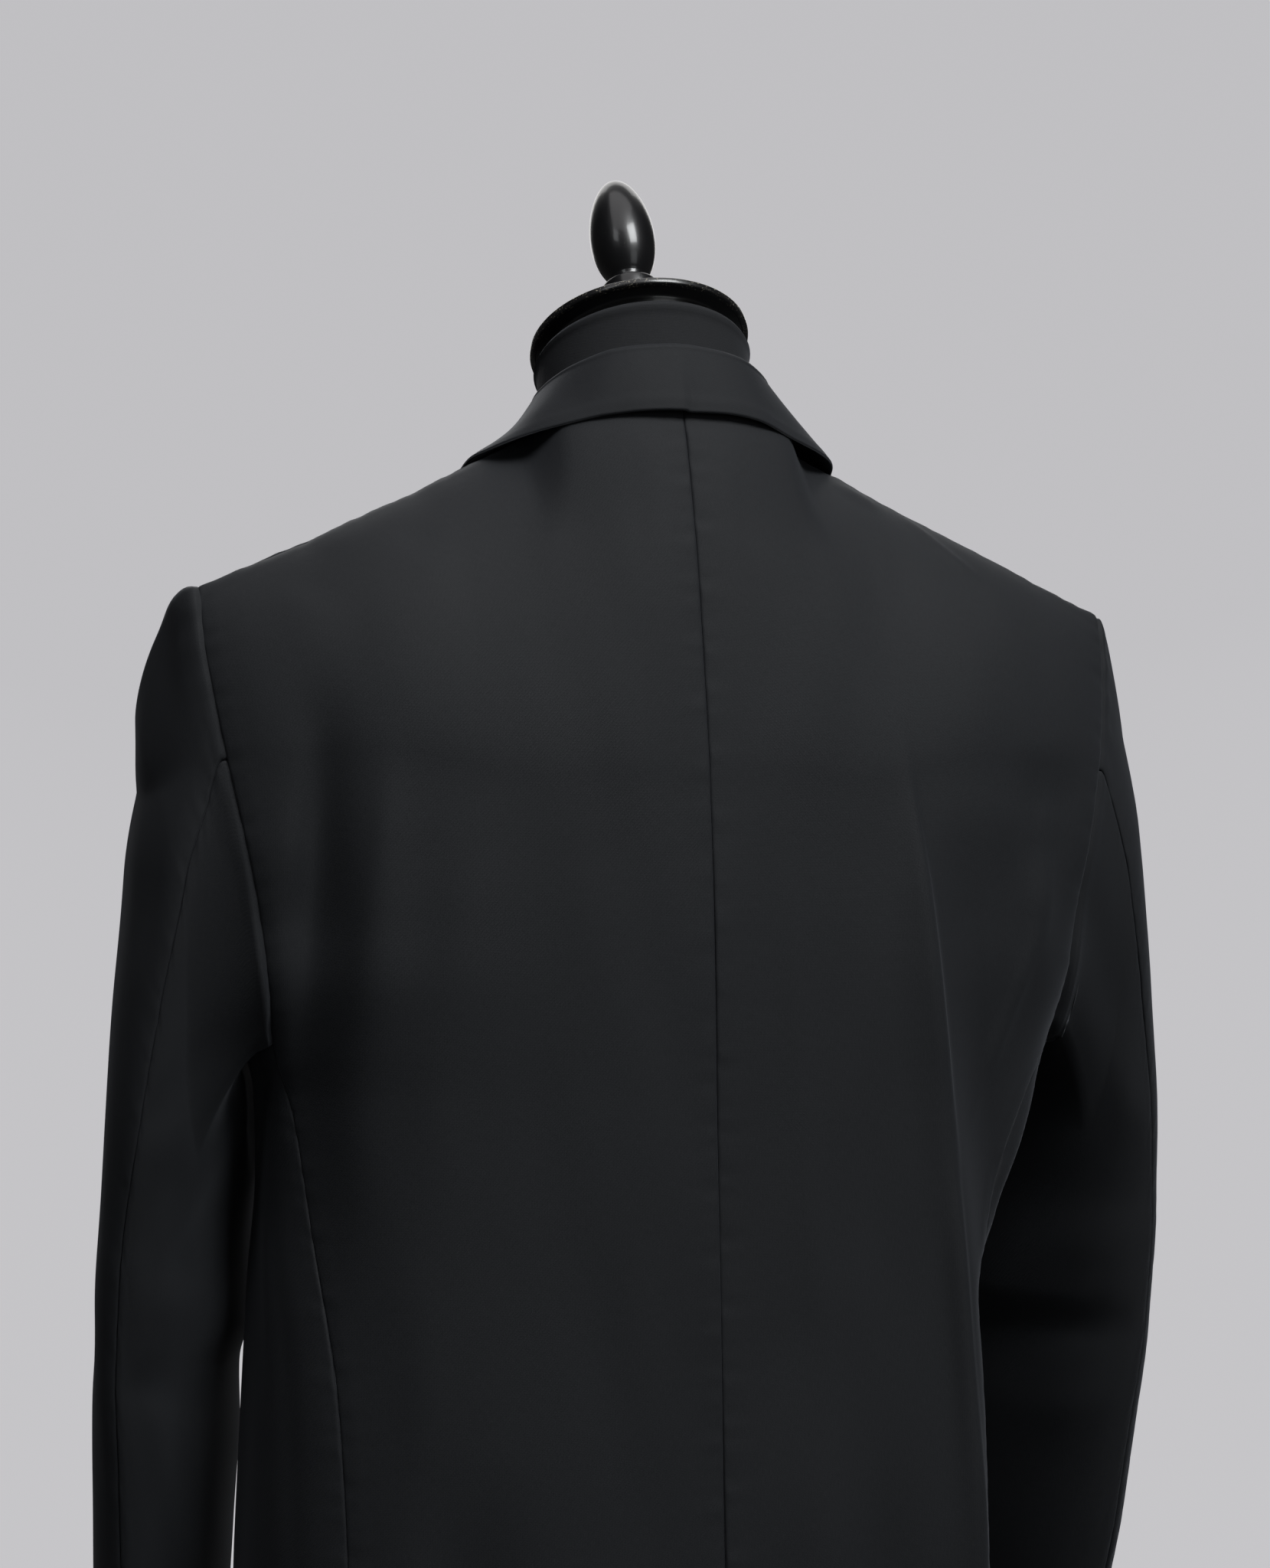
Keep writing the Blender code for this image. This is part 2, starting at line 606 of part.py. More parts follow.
def wall_mesh(name, grid, normal, thickness=CLOTH):
    """A closed wall round a grid of points: its outer face, its inner face and the rim between them."""
    rows, columns = grid.shape[:2]
    count = rows * columns
    layers = [(grid + normal * side * thickness / 2).reshape(-1, 3) for side in (1, -1)]
    faces = grid_faces(grid)
    faces += [face[::-1] for face in grid_faces(grid, count)]
    rim = [j for j in range(columns)]
    rim += [i * columns + columns - 1 for i in range(1, rows)]
    rim += [(rows - 1) * columns + j for j in range(columns - 2, -1, -1)]
    rim += [i * columns for i in range(rows - 2, 0, -1)]
    for a, b in zip(rim, rim[1:] + rim[:1]):
        if a < b:
            faces += [[a, a + count, b + count], [a, b + count, b]]
        else:
            faces += [[a, a + count, b], [a + count, b + count, b]]
    return closed_mesh(name, np.concatenate(layers), faces)


def shrink(grid, *edges):
    """Draws the named edges of a grid in by half a seam's gap: bottom, top, first or last."""
    grid = grid.copy()
    pairs = {
        "bottom": (grid[0], grid[1]),
        "top": (grid[-1], grid[-2]),
        "first": (grid[:, 0], grid[:, 1]),
        "last": (grid[:, -1], grid[:, -2]),
    }
    for edge in edges:
        outer, inner = pairs[edge]
        outer += unit(inner - outer) * HALF_GAP
    return grid


def flat_out(grid, centre_y=0.0):
    """Vectors away from the upright line through the middle."""
    return grid * (1, 1, 0) - (0, centre_y, 0)


class Side:
    """The body panels of one side, with normals that agree along their seams."""

    def __init__(self, side):
        self.side = side
        self.back = back_grid(side)
        self.flank = side_grid(side)
        self.front = front_grid(side)
        self.back_normal = grid_normals(self.back, flat_out(self.back))
        self.flank_normal = grid_normals(self.flank, flat_out(self.flank))
        self.front_normal = grid_normals(self.front, flat_out(self.front))
        share_edge(self.back_normal[:LOWER_ROWS, -1], self.flank_normal[:, 0])
        share_edge(self.flank_normal[:, -1], self.front_normal[:LOWER_ROWS, 0])
        shoulder = self.back_normal[-1, NECK_COLUMNS:]
        share_edge(shoulder[::-1], self.front_normal[-1])

    def armhole(self):
        """Points, outward normals and outward directions in the cloth, round the armhole from the elbow
        pitch over the shoulder and back under the arm, and each point's turn round the sleeve."""
        rows = slice(LOWER_ROWS - 1, None)
        back = (self.back[rows, -1], self.back_normal[rows, -1], self.back[rows, -2])
        front = (self.front[rows, 0], self.front_normal[rows, 0], self.front[rows, 1])
        under = (self.flank[-1], self.flank_normal[-1], self.flank[-2])
        count = UPPER_ROWS
        pitch = ELBOW_PITCH_ROW
        parts = []
        for kind in range(3):
            parts.append(
                np.concatenate(
                    (
                        back[kind][count - pitch :],
                        front[kind][::-1][1:],
                        under[kind][::-1][1:-1],
                        back[kind][: count - pitch + 1],
                    )
                )
            )
        points, normals, inner = parts
        stations = [
            (0, 0),
            (pitch, TIP_TURN),
            (pitch + count - FRONT_PITCH_ROW, FRONT_SEAM_TURN),
            (pitch + count, FRONT_CORNER_TURN),
            (pitch + count + SIDE_COLUMNS - 1, BACK_CORNER_TURN),
            (len(points) - 1, 360),
        ]
        length = np.concatenate(([0], np.cumsum(np.linalg.norm(np.diff(points, axis=0), axis=1))))
        turns = smooth([length[i] for i, _ in stations], [turn for _, turn in stations], length)
        return points, unit(normals), unit(points - inner), turns


def sleeve_ring(side, turn, z):
    """Points of the sleeve's level section at these turns, in degrees, and heights."""
    angle = np.radians(turn)
    power = 2 / SLEEVE_SQUARENESS
    cos, sin = np.cos(angle), np.sin(angle)
    deep = sleeve_section("half_depth", z) * np.sign(cos) * np.abs(cos) ** power
    thick = sleeve_section("half_thickness", z) * np.sign(sin) * np.abs(sin) ** power
    lean = np.radians(sleeve_section("turn", z))
    out = sleeve_fold_height(side, turn, z)
    thick = thick + out * sin
    middle = sleeve_section("left_x" if side > 0 else "right_x", z)
    x = middle + deep * np.sin(lean) + thick * np.cos(lean)
    y = sleeve_section("y", z) + deep * np.cos(lean) - thick * np.sin(lean)
    return np.maximum(x, clear_x(y, z)), y


def sleeve_fold_height(side, turn, z):
    """How far the sleeve's soft folds stand out."""
    total = np.zeros(np.broadcast(turn, z).shape)
    for row in SLEEVE_FOLDS:
        fold = dict(zip(SLEEVE_FOLD_COLUMNS, row))
        if fold["side"] != side:
            continue
        away = (turn - fold["turn"] + 180) % 360 - 180
        line = fold["z"] + fold["slant"] * away
        bump = np.exp(-(((z - line) / fold["half_height"]) ** 2) - (away / fold["half_turn"]) ** 2)
        total = total + fold["height"] * bump
    return total


def clear_x(y, z):
    """The least x that keeps the sleeve clear of the body's side."""
    width = section("half_width", z) + BODY_CLEARANCE
    depth = np.where(y > 0, section("back", z), section("front", z)) + BODY_CLEARANCE
    power = np.where(y > 0, section("back_squareness", z), section("front_squareness", z))
    return width * quarter(np.minimum(np.abs(y) / depth, 1), power)


def sleeve_grid(side, body):
    """The whole sleeve: rows from the armhole down to the cuff, columns once round from the elbow seam."""
    points, normals, outwards, turns = body.armhole()
    points, normals, outwards = (part * (side, 1, 1) for part in (points, normals, outwards))
    first, last = UNDER_TURNS
    under = ease((turns - first) / UNDER_BLEND) * ease((last - turns) / UNDER_BLEND)
    away = unit(mix(outwards, normals, under[:, None]))
    start = points + away * mix(HEAD_START, UNDER_START, under)[:, None]
    leave = points + away * mix(HEAD_LEAVE, UNDER_LEAVE, under)[:, None]
    top = leave[:, 2]
    low = np.exp(-(((turns - LOW_TURN) / LOW_SPREAD) ** 2))
    height = mix(HEAD_HEIGHT, LOW_HEIGHT, low)
    rows = [start, leave]
    for share in np.linspace(0, 1, SLEEVE_ROWS)[1:] ** SLEEVE_SPACING:
        z = mix(top, CUFF_Z, share)
        x, y = sleeve_ring(side, turns, z)
        rise = arch((top - z) / height, HEAD_POWER)
        rows.append(stack(mix(leave[:, 0], x, rise), mix(leave[:, 1], y, rise), z))
    grid = np.array(rows)
    grid[:, -1] = grid[:, 0]
    return grid * (side, 1, 1)


def sleeve_pieces(side, body):
    """(top sleeve, under sleeve) as (grid, normals), cut at the elbow seam and the front seam."""
    grid = sleeve_grid(side, body)
    centre = grid[:, :-1].mean(axis=1, keepdims=True)
    wrapped = np.concatenate((grid[:, -2:-1], grid, grid[:, 1:2]), axis=1)
    out = wrapped - centre
    normal = grid_normals(wrapped, out * (1, 1, 0))[:, 1:-1]
    normal[:2] = grid_normals(grid[:3], (grid - centre)[:3])[:2]
    seam = ELBOW_PITCH_ROW + UPPER_ROWS - FRONT_PITCH_ROW
    return (grid[:, : seam + 1], normal[:, : seam + 1]), (grid[:, seam:], normal[:, seam:])


def collar_section(station, swell):
    """One cross section of the collar: up the stand, round the fold and down the fall."""
    foot, fold, edge, outward, up = station
    arc = [
        fold + COLLAR_FOLD_RADIUS * (-math.cos(a) * outward + math.sin(a) * up)
        for a in np.linspace(0, math.pi, FOLD_STEPS + 1)
    ]
    stand = [mix(foot, arc[0], t) for t in np.linspace(0, 1, STAND_STEPS + 1)[:-1]]
    fall = []
    for t in np.linspace(0, 1, FALL_STEPS + 1)[1:]:
        bulge = swell * math.sin(math.pi * t)
        fall.append(mix(arc[-1], edge, t) + bulge * unit(outward + up))
    return stand + arc + fall


def collar_half(side):
    """The collar's sections from the middle of the back to its front end."""
    shares = np.linspace(0, 1, COLLAR_STATIONS)
    triples = {}
    for name in ("foot", "fold", "edge"):
        triples[name] = stack(
            *(table_value(COLLAR, COLLAR_COLUMNS, f"{name}_{axis}", shares) for axis in "xyz")
        )
    lean = np.exp(-(((shares - COLLAR_LEAN_SHARE) / COLLAR_LEAN_WIDTH) ** 2))
    triples["edge"][:, 2] -= COLLAR_DROP[side] * lean
    way = np.gradient(triples["fold"], axis=0)
    way[0] = (1, 0, 0)
    way = unit(way)
    outward = unit(stack(-way[:, 1], way[:, 0], 0 * way[:, 0]))
    up = unit(np.cross(way, outward))
    half = []
    for i in range(COLLAR_STATIONS):
        station = [triples[name][i] for name in ("foot", "fold", "edge")]
        half.append(collar_section((*station, outward[i], up[i]), COLLAR_SWELL[side] * lean[i]))
    return np.array(half) * (side, 1, 1)


def collar_grid():
    """The collar as one folded wall: columns from its right front end round the neck to its left one."""
    sections = np.concatenate((collar_half(RIGHT)[:0:-1], collar_half(LEFT)))
    return sections.transpose(1, 0, 2)


def lapel_grid(side):
    """The lapel, laid on the front: rows from the break up, columns from the roll line out."""
    foot = LEFT_LAPEL_FOOT_Z if side > 0 else RIGHT_LAPEL_FOOT_Z
    across = np.linspace(0, 1, LAPEL_ACROSS)
    columns = (column_of(LAPEL_TOP, LAPEL_TOP_COLUMNS, name) for name in LAPEL_TOP_COLUMNS)
    top = np.interp(across, *columns)
    low = (foot - LEFT_LAPEL_FOOT_Z) / (top[0] - LEFT_LAPEL_FOOT_Z)
    rows = []
    for share in np.linspace(0, 1, LAPEL_ROWS):
        z = mix(foot, top, share)
        roll = front_inner_x(z) + LAPEL_GAP
        outer = roll + table_value(LAPEL, LAPEL_COLUMNS, "width", mix(low, 1, share))
        inner = roll if side > 0 else np.maximum(roll, 3 * LAPEL_GAP - roll)
        x = mix(inner, np.maximum(outer, inner + 2 * CLOTH), across)
        rows.append(on_front(side, x, z, mix(ROLL_LAYER, LAYER, ease(across * 4))))
    return np.array(rows)


def flap_grid(side):
    """A pocket flap, laid on the front."""
    across = np.linspace(0, 1, 5)
    rows = []
    for share in np.linspace(0, 1, 3):
        x = mix(FLAP_INNER_X, FLAP_OUTER_X, across) + 0.004 * share
        z = mix(FLAP_FOOT_Z, FLAP_TOP_Z, share) + 0.004 * across
        rows.append(on_front(side, x, z, np.full(len(across), LAYER)))
    return np.array(rows)


def turned_mesh(name, profile, steps=ROUND_STEPS):
    """A solid turned about Z from (radius, z) points that start and end on the axis."""
    radius, z = (np.array([point[i] for point in profile])[:, None] for i in (0, 1))
    angle = np.arange(steps + 1) * 2 * math.pi / steps
    grid = stack(radius * np.cos(angle), radius * np.sin(angle), z)
    return closed_mesh(name, grid.reshape(-1, 3), grid_faces(grid))


def arc_points(centre, radii, start, end, count):
    """Points of an ellipse's arc, as (radius, z), between two angles in degrees."""
    return [
        (
            centre[0] + radii[0] * math.cos(math.radians(a)),
            centre[1] + radii[1] * math.sin(math.radians(a)),
        )
        for a in np.linspace(start, end, count)
    ]


def button_profile():
    well = BUTTON_RADIUS - 2 * BUTTON_LIP
    return [
        (0, 0),
        (BUTTON_RADIUS - 0.001, 0),
        (BUTTON_RADIUS, 0.001),
        (BUTTON_RADIUS, BUTTON_THICKNESS - 0.001),
        (BUTTON_RADIUS - BUTTON_LIP, BUTTON_THICKNESS),
        (well, BUTTON_THICKNESS - BUTTON_WELL),
        (0, BUTTON_THICKNESS - BUTTON_WELL),
    ]


def cap_profile():
    """The neck cap: a boss that stands on the neck, a thin rim and a dome with a small flat top."""
    shoulder = CAP_RADIUS - 0.003
    dome = []
    for radius in np.linspace(shoulder, FINIAL_FLANGE_RADIUS + 0.001, 8):
        dome.append((radius, CAP_RIM / 2 + CAP_DOME * (1 - (radius / shoulder) ** 1.35)))
    return [
        (0, -CAP_BOSS - CAP_RIM / 2),
        (CAP_BOSS_RADIUS, -CAP_BOSS - CAP_RIM / 2),
        (CAP_BOSS_RADIUS, -CAP_RIM / 2),
        (CAP_RADIUS - 0.0015, -CAP_RIM / 2),
        (CAP_RADIUS, -CAP_RIM / 2 + 0.0012),
        (CAP_RADIUS, CAP_RIM / 2 - 0.0012),
        (CAP_RADIUS - 0.0015, CAP_RIM / 2),
        *dome,
        (0, dome[-1][1]),
    ]


def finial_profile():
    """A flange that narrows to a waist, and an egg that is fuller below."""
    egg = []
    for t in np.linspace(FINIAL_EGG_START, 1, 13):
        angle = math.pi * t
        radius = FINIAL_EGG_RADIUS * math.sin(angle) * (1 + 0.12 * math.cos(angle))
        egg.append((abs(radius), FINIAL_TOP - FINIAL_EGG_LENGTH * (1 + math.cos(angle)) / 2))
    egg[-1] = (0, FINIAL_TOP)
    return [
        (0, 0),
        (FINIAL_FLANGE_RADIUS, 0),
        (FINIAL_FLANGE_RADIUS, FINIAL_FLANGE),
        (FINIAL_WAIST_RADIUS + 0.0025, FINIAL_WAIST - 0.0025),
        (FINIAL_WAIST_RADIUS, FINIAL_WAIST),
        *egg[1:],
    ]


def form_top(x, behind):
    """(y, z) of the torso's top edge: the neck's base and, past it, the ridge of the shoulder."""
    x = np.abs(x)
    ridge_z = shoulder_z(np.maximum(x, FORM_NECK_BASE_X)) - FORM_DROP
    ridge_y = shoulder_y(np.maximum(x, FORM_NECK_RADIUS))
    bend = np.sqrt(np.clip(1 - (x / FORM_NECK_RADIUS) ** 2, 0, 1))
    far_y = FORM_NECK_BACK_Y if behind else FORM_NECK_FRONT_Y
    far_z = ridge_z if behind else FORM_NECK_FRONT_Z
    return mix(ridge_y, far_y, bend), mix(ridge_z, far_z, bend)


def form_y(x, z, behind):
    """The torso's surface behind or in front, as y over x and z."""
    name, sign = ("back", 1) if behind else ("front", -1)
    share = np.abs(x) / form_section("half_width", z)
    full = sign * form_section(name, z) * quarter(share, form_section("squareness", z))
    seam_y, seam_z = form_top(x, behind)
    height = rounding(f"{name}_height", np.abs(x))
    rise = arch((seam_z - z) / height, rounding(f"{name}_power", np.abs(x)))
    return mix(seam_y, full, rise)


def form_shares():
    """Shares of the torso's half width, from its right edge to its left one."""
    ratio = FORM_NECK_RADIUS / form_section("half_width", 0.92)
    neck = [ratio * math.sin(math.pi * k / NECK_STEPS) for k in range(NECK_STEPS // 2 + 1)]
    half = np.array(neck + list(FORM_SHARES))
    return np.concatenate((-half[:0:-1], half))


def form_half(behind):
    """Rows of points up the torso's back or front, and the shares of its columns."""
    across = form_shares()
    top_x = across * form_section("half_width", 0.92)
    top_z = form_top(top_x, behind)[1]
    rows = []
    for share in np.linspace(0, 1, 8):
        z = np.full(len(across), mix(FORM_FOOT_Z, BACK_SEAM_TOP_Z, share))
        x = across * form_section("half_width", z)
        rows.append((x, z, np.full(len(across), 1.0)))
    for drop in upper_drops():
        z = mix(top_z, BACK_SEAM_TOP_Z, drop)
        x = across * form_section("half_width", z)
        rows.append((x, z, np.full(len(across), drop)))
    x, z, drop = (np.array([row[i] for row in rows]) for i in range(3))
    x[-1] = top_x
    y = form_y(x, z, behind)
    y[:, [0, -1]] = (shoulder_y(np.abs(top_x[0])) * (1 - ease(drop * 2)))[:, :1]
    return stack(x, y, z)


def neck_top_ring():
    """The neck's tilted top edge, just under the cap's boss."""
    tilt_way = np.array((0, -math.sin(CAP_TILT), math.cos(CAP_TILT)))
    top_centre = np.array(CAP_CENTRE) - tilt_way * (CAP_RIM / 2 + CAP_BOSS + SEAT_GAP)
    half = np.linspace(math.pi, 0, NECK_STEPS + 1)
    angles = np.concatenate((half, -half[-2:0:-1]))
    deep = np.array((0, math.cos(CAP_TILT), math.sin(CAP_TILT)))
    ring = [
        top_centre
        + NECK_TOP_RADII[0] * math.cos(a) * np.array((1, 0, 0))
        + NECK_TOP_RADII[1] * math.sin(a) * deep
        for a in angles
    ]
    return np.array(ring)


def torso_mesh():
    """The torso: two skins that meet along the shoulders and sides, a neck and flat ends."""
    back, front = form_half(True), form_half(False)
    columns = back.shape[1]
    points = np.concatenate((back.reshape(-1, 3), front.reshape(-1, 3)))
    faces = grid_faces(back)
    faces += [face[::-1] for face in grid_faces(front, len(back) * columns)]
    foot = list(range(columns)) + [len(back) * columns + j for j in range(columns - 2, 0, -1)]
    faces.append(foot)
    middle = columns // 2
    near = [middle + k for k in range(-NECK_STEPS // 2, NECK_STEPS // 2 + 1)]
    base = np.concatenate((back[-1, near], front[-1, near[-2:0:-1]]))
    top = neck_top_ring()
    rings = [base]
    for t in (0.2, 0.45, 0.72, 1.0):
        straight = mix(base, top, t)
        waist = 1 - 0.02 * math.sin(math.pi * t)
        centre = straight.mean(axis=0)
        rings.append(centre + (straight - centre) * waist)
    neck = np.array([np.concatenate((ring, ring[:1])) for ring in rings])
    faces += grid_faces(neck, len(points))
    points = np.concatenate((points, neck.reshape(-1, 3)))
    last = len(points) - len(base) - 1
    faces.append([last + k for k in range(len(base))])
    return closed_mesh("torso", points, faces)


def material(name, colour, roughness, metallic=0.0):
    made = bpy.data.materials.new(name)
    made.use_nodes = True
    shader = made.node_tree.nodes["Principled BSDF"]
    shader.inputs["Base Color"].default_value = (*colour, 1.0)
    shader.inputs["Roughness"].default_value = roughness
    shader.inputs["Metallic"].default_value = metallic
    return made


def place(name, mesh, finish, sharp=40.0):
    """Puts a mesh in the scene as one named piece."""
    piece = bpy.data.objects.new(name, mesh)
    mesh.materials.append(finish)
    mesh.shade_smooth()
    mesh.set_sharp_from_angle(angle=math.radians(sharp))
    bpy.context.scene.collection.objects.link(piece)
    return piece


def build_body(cloth):
    """The back, side and front panels, and the sleeves sewn to their armholes."""
    sides = {side: Side(side) for side in (LEFT, RIGHT)}
    middle = [sides[side].back_normal[:, 0] for side in (LEFT, RIGHT)]
    middle[1] *= (-1, 1, 1)
    share_edge(*middle)
    for normals in middle:
        normals[:, 0] = 0
        normals[:] = unit(normals)
    for side, word in ((LEFT, "left"), (RIGHT, "right")):
        body = sides[side]
        panels = (
            ("back", shrink(body.back, "first", "last", "top"), body.back_normal),
            ("side", shrink(body.flank, "first", "last"), body.flank_normal),
            ("front", shrink(body.front, "first", "top"), body.front_normal),
        )
        for name, grid, normal in panels:
            place(f"{name}_{word}", wall_mesh(name, grid, normal), cloth)
        top, under = sleeve_pieces(side, body)
        for name, (grid, normal) in (("top", top), ("under", under)):
            mesh = wall_mesh(name, shrink(grid, "first", "last"), normal)
            place(f"sleeve_{word}_{name}", mesh, cloth)


def build_laid_pieces(cloth):
    """The collar, lapels and pocket flaps."""
    collar = collar_grid()
    out = np.cross(np.gradient(collar, axis=1), np.gradient(collar, axis=0))
    place("collar", wall_mesh("collar", collar, grid_normals(collar, out)), cloth)
    for side, word in ((LEFT, "left"), (RIGHT, "right")):
        for name, grid in (("lapel", lapel_grid(side)), ("pocket_flap", flap_grid(side))):
            normal = grid_normals(grid, np.broadcast_to((0, -1, 0), grid.shape))
            place(f"{name}_{word}", wall_mesh(name, grid, normal), cloth)


def build_buttons(horn):
    for name, z in BUTTON_HEIGHTS.items():
        button = place(f"front_button_{name}", turned_mesh("button", button_profile(), 16), horn)
        seat = on_front(LEFT, np.array(0.0), np.array(z), CLOTH / 2 + 2 * SEAT_GAP)
        button.location = seat
        button.rotation_euler = (math.radians(90), 0, 0)


def build_form(covering, lacquer, paint):
    """The torso and neck, the turned cap and its finial, the pole and the round base."""
    place("form_torso", torso_mesh(), covering)
    cap = place("form_neck_cap", turned_mesh("cap", cap_profile(), 36), lacquer)
    cap.location = CAP_CENTRE
    cap.rotation_euler = (CAP_TILT, 0, 0)
    finial = place("form_finial", turned_mesh("finial", finial_profile(), 20), lacquer)
    finial.parent = cap
    finial.location = (0, 0, cap_profile()[-1][1] + SEAT_GAP)
    pole_foot, pole_top = BASE_THICKNESS + SEAT_GAP, FORM_FOOT_Z - SEAT_GAP
    pole = [(0, pole_foot), (POLE_RADIUS, pole_foot), (POLE_RADIUS, pole_top), (0, pole_top)]
    place("stand_pole", turned_mesh("pole", pole, 24), paint)
    edge = arc_points(
        (BASE_RADIUS - BASE_EDGE, BASE_THICKNESS - BASE_EDGE), (BASE_EDGE, BASE_EDGE), 0, 90, 4
    )
    base = [(0, 0), (BASE_RADIUS, 0), *edge, (0, BASE_THICKNESS)]
    place("stand_base", turned_mesh("base", base), paint)


def main():
    for old in list(bpy.data.objects):
        bpy.data.objects.remove(old)
    cloth = material("suiting", (0.017, 0.019, 0.022), 0.85)
    covering = material("form_cover", (0.020, 0.021, 0.024), 0.80)
    lacquer = material("black_lacquer", (0.006, 0.006, 0.007), 0.22)
    horn = material("dark_horn", (0.012, 0.011, 0.010), 0.30)
    paint = material("black_paint", (0.010, 0.010, 0.011), 0.45)
    build_body(cloth)
    build_laid_pieces(cloth)
    build_buttons(horn)
    build_form(covering, lacquer, paint)


if __name__ == "__main__":
    main()
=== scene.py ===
"""Looks of a black two-button blazer on a limbless dress form, seen from behind and a little to the side."""

import logging
import math
from contextlib import contextmanager
from dataclasses import dataclass, field
from enum import Enum
from typing import Callable, Iterable, Iterator, Optional, Sequence

import bmesh
import bpy
import numpy as np
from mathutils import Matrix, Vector


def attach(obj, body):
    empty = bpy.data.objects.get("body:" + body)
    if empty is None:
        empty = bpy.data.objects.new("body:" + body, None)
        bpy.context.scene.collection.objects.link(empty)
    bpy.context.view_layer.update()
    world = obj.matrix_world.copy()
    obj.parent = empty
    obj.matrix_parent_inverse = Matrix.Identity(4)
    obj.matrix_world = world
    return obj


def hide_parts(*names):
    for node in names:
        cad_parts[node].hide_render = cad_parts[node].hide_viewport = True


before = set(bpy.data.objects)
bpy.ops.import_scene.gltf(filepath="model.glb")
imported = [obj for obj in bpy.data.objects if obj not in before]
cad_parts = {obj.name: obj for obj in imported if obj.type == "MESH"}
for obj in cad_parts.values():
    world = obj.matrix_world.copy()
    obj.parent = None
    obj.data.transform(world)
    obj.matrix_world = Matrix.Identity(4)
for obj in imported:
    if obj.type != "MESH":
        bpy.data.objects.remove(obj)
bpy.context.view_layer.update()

LOG = logging.getLogger("blazer")
SEED = 11
CLOTH = 0.0020
Array = np.ndarray
Pair = tuple[float, float]
Triple = tuple[float, float, float]
Piece = bpy.types.Object
Material = bpy.types.Material
Nodes = bpy.types.NodeTree
Socket = bpy.types.NodeSocket


class Hand(Enum):
    """The wearer's side that a piece is on, as the sign of its X."""

    LEFT = 1.0
    RIGHT = -1.0

    @property
    def word(self) -> str:
        """The side's name in a piece's name."""
        return self.name.lower()


def by_hand(left: float, right: float) -> dict[Hand, float]:
    """A field with one value for each side."""
    return field(default_factory=lambda: {Hand.LEFT: left, Hand.RIGHT: right})


class Edge(Enum):
    """How a cloth edge is finished."""

    SEAM = "seam"
    FOLDED = "folded"
    HIDDEN = "hidden"


ALL_EDGES = ("first", "last", "top", "bottom")


def edge_styles(seams: Sequence[str] = (), folds: Sequence[str] = ()) -> dict[str, Edge]:
    """The finish of each named edge: these sewn, those folded. An edge left out is hidden."""
    return {**dict.fromkeys(seams, Edge.SEAM), **dict.fromkeys(folds, Edge.FOLDED)}


def smooth(knots: Array, values: Array, at: Array) -> Array:
    """A cubic through points that doesn't overshoot them.

    Args:
        knots: Rising places of the points.
        values: The points' values.
        at: Where to read the curve; past both ends it is level.

    Returns:
        The curve's values.
    """
    at = np.clip(np.asarray(at, float), knots[0], knots[-1])
    step = np.diff(knots)
    slope = np.diff(values) / step
    tangent = np.zeros(len(knots))
    before, after = 2 * step[1:] + step[:-1], step[1:] + 2 * step[:-1]
    with np.errstate(divide="ignore", invalid="ignore"):
        mean = (before + after) / (before / slope[:-1] + after / slope[1:])
    tangent[1:-1] = np.where(slope[:-1] * slope[1:] > 0, mean, 0.0)
    tangent[0], tangent[-1] = slope[0], slope[-1]
    cell = np.clip(np.searchsorted(knots, at, side="right") - 1, 0, len(step) - 1)
    width = step[cell]
    t = (at - knots[cell]) / width
    return (
        (1 + 2 * t) * (1 - t) ** 2 * values[cell]
        + t * (1 - t) ** 2 * width * tangent[cell]
        + t**2 * (3 - 2 * t) * values[cell + 1]
        + t**2 * (t - 1) * width * tangent[cell + 1]
    )


def mirrored(knots: Array, values: Array, at: Array, odd: bool) -> Array:
    """A smooth curve through points from 0 up and their mirror images.

    Args:
        knots: Places of the points, 0 first.
        values: Their values.
        at: Where to read the curve.
        odd: Whether the mirror image has the opposite sign.

    Returns:
        The curve's values.
    """
    sign = -1.0 if odd else 1.0
    return smooth(np.concatenate((-knots[:0:-1], knots)), np.concatenate((sign * values[:0:-1], values)), at)


def ease(t: Array) -> Array:
    """0 up to 1 with level ends."""
    t = np.clip(t, 0.0, 1.0)
    return t * t * (3 - 2 * t)


def ease_ends(t: Array, share: float) -> Array:
    """1 along the middle of a run from 0 to 1, easing to 0 over a share of it at each end."""
    return ease(t / share) * ease((1 - t) / share)


def bell(at: Array, middle: Array, width: Array) -> Array:
    """1 at the middle, falling off evenly on both sides."""
    return np.exp(-(((at - middle) / width) ** 2))


def mix(a: Array, b: Array, t: Array) -> Array:
    """From a to b by the share t."""
    return a + (b - a) * t


def unit(vectors: Array) -> Array:
    """The same directions with length 1."""
    return vectors / np.maximum(np.linalg.norm(vectors, axis=-1, keepdims=True), 1e-12)


def stack(x: Array, y: Array, z: Array) -> Array:
    """Points from their three coordinates."""
    return np.stack(np.broadcast_arrays(x, y, z), axis=-1)


def quarter(share: Array, squareness: Array) -> Array:
    """A superellipse's height at this share of its half width."""
    return np.clip(1 - np.abs(share) ** squareness, 0, 1) ** (1 / squareness)


def arch(t: Array, power: Array) -> Array:
    """Rises from 0 straight up and levels out at 1."""
    return (1 - (1 - np.clip(t, 0, 1)) ** power) ** (1 / power)


def round_edge(far: Array, radius: float) -> Array:
    """A quarter circle's height by the distance from an edge: 0 at the edge and 1 from the radius on."""
    return np.sqrt(np.clip(1 - np.clip(1 - far / radius, 0, 1) ** 2, 0, 1))


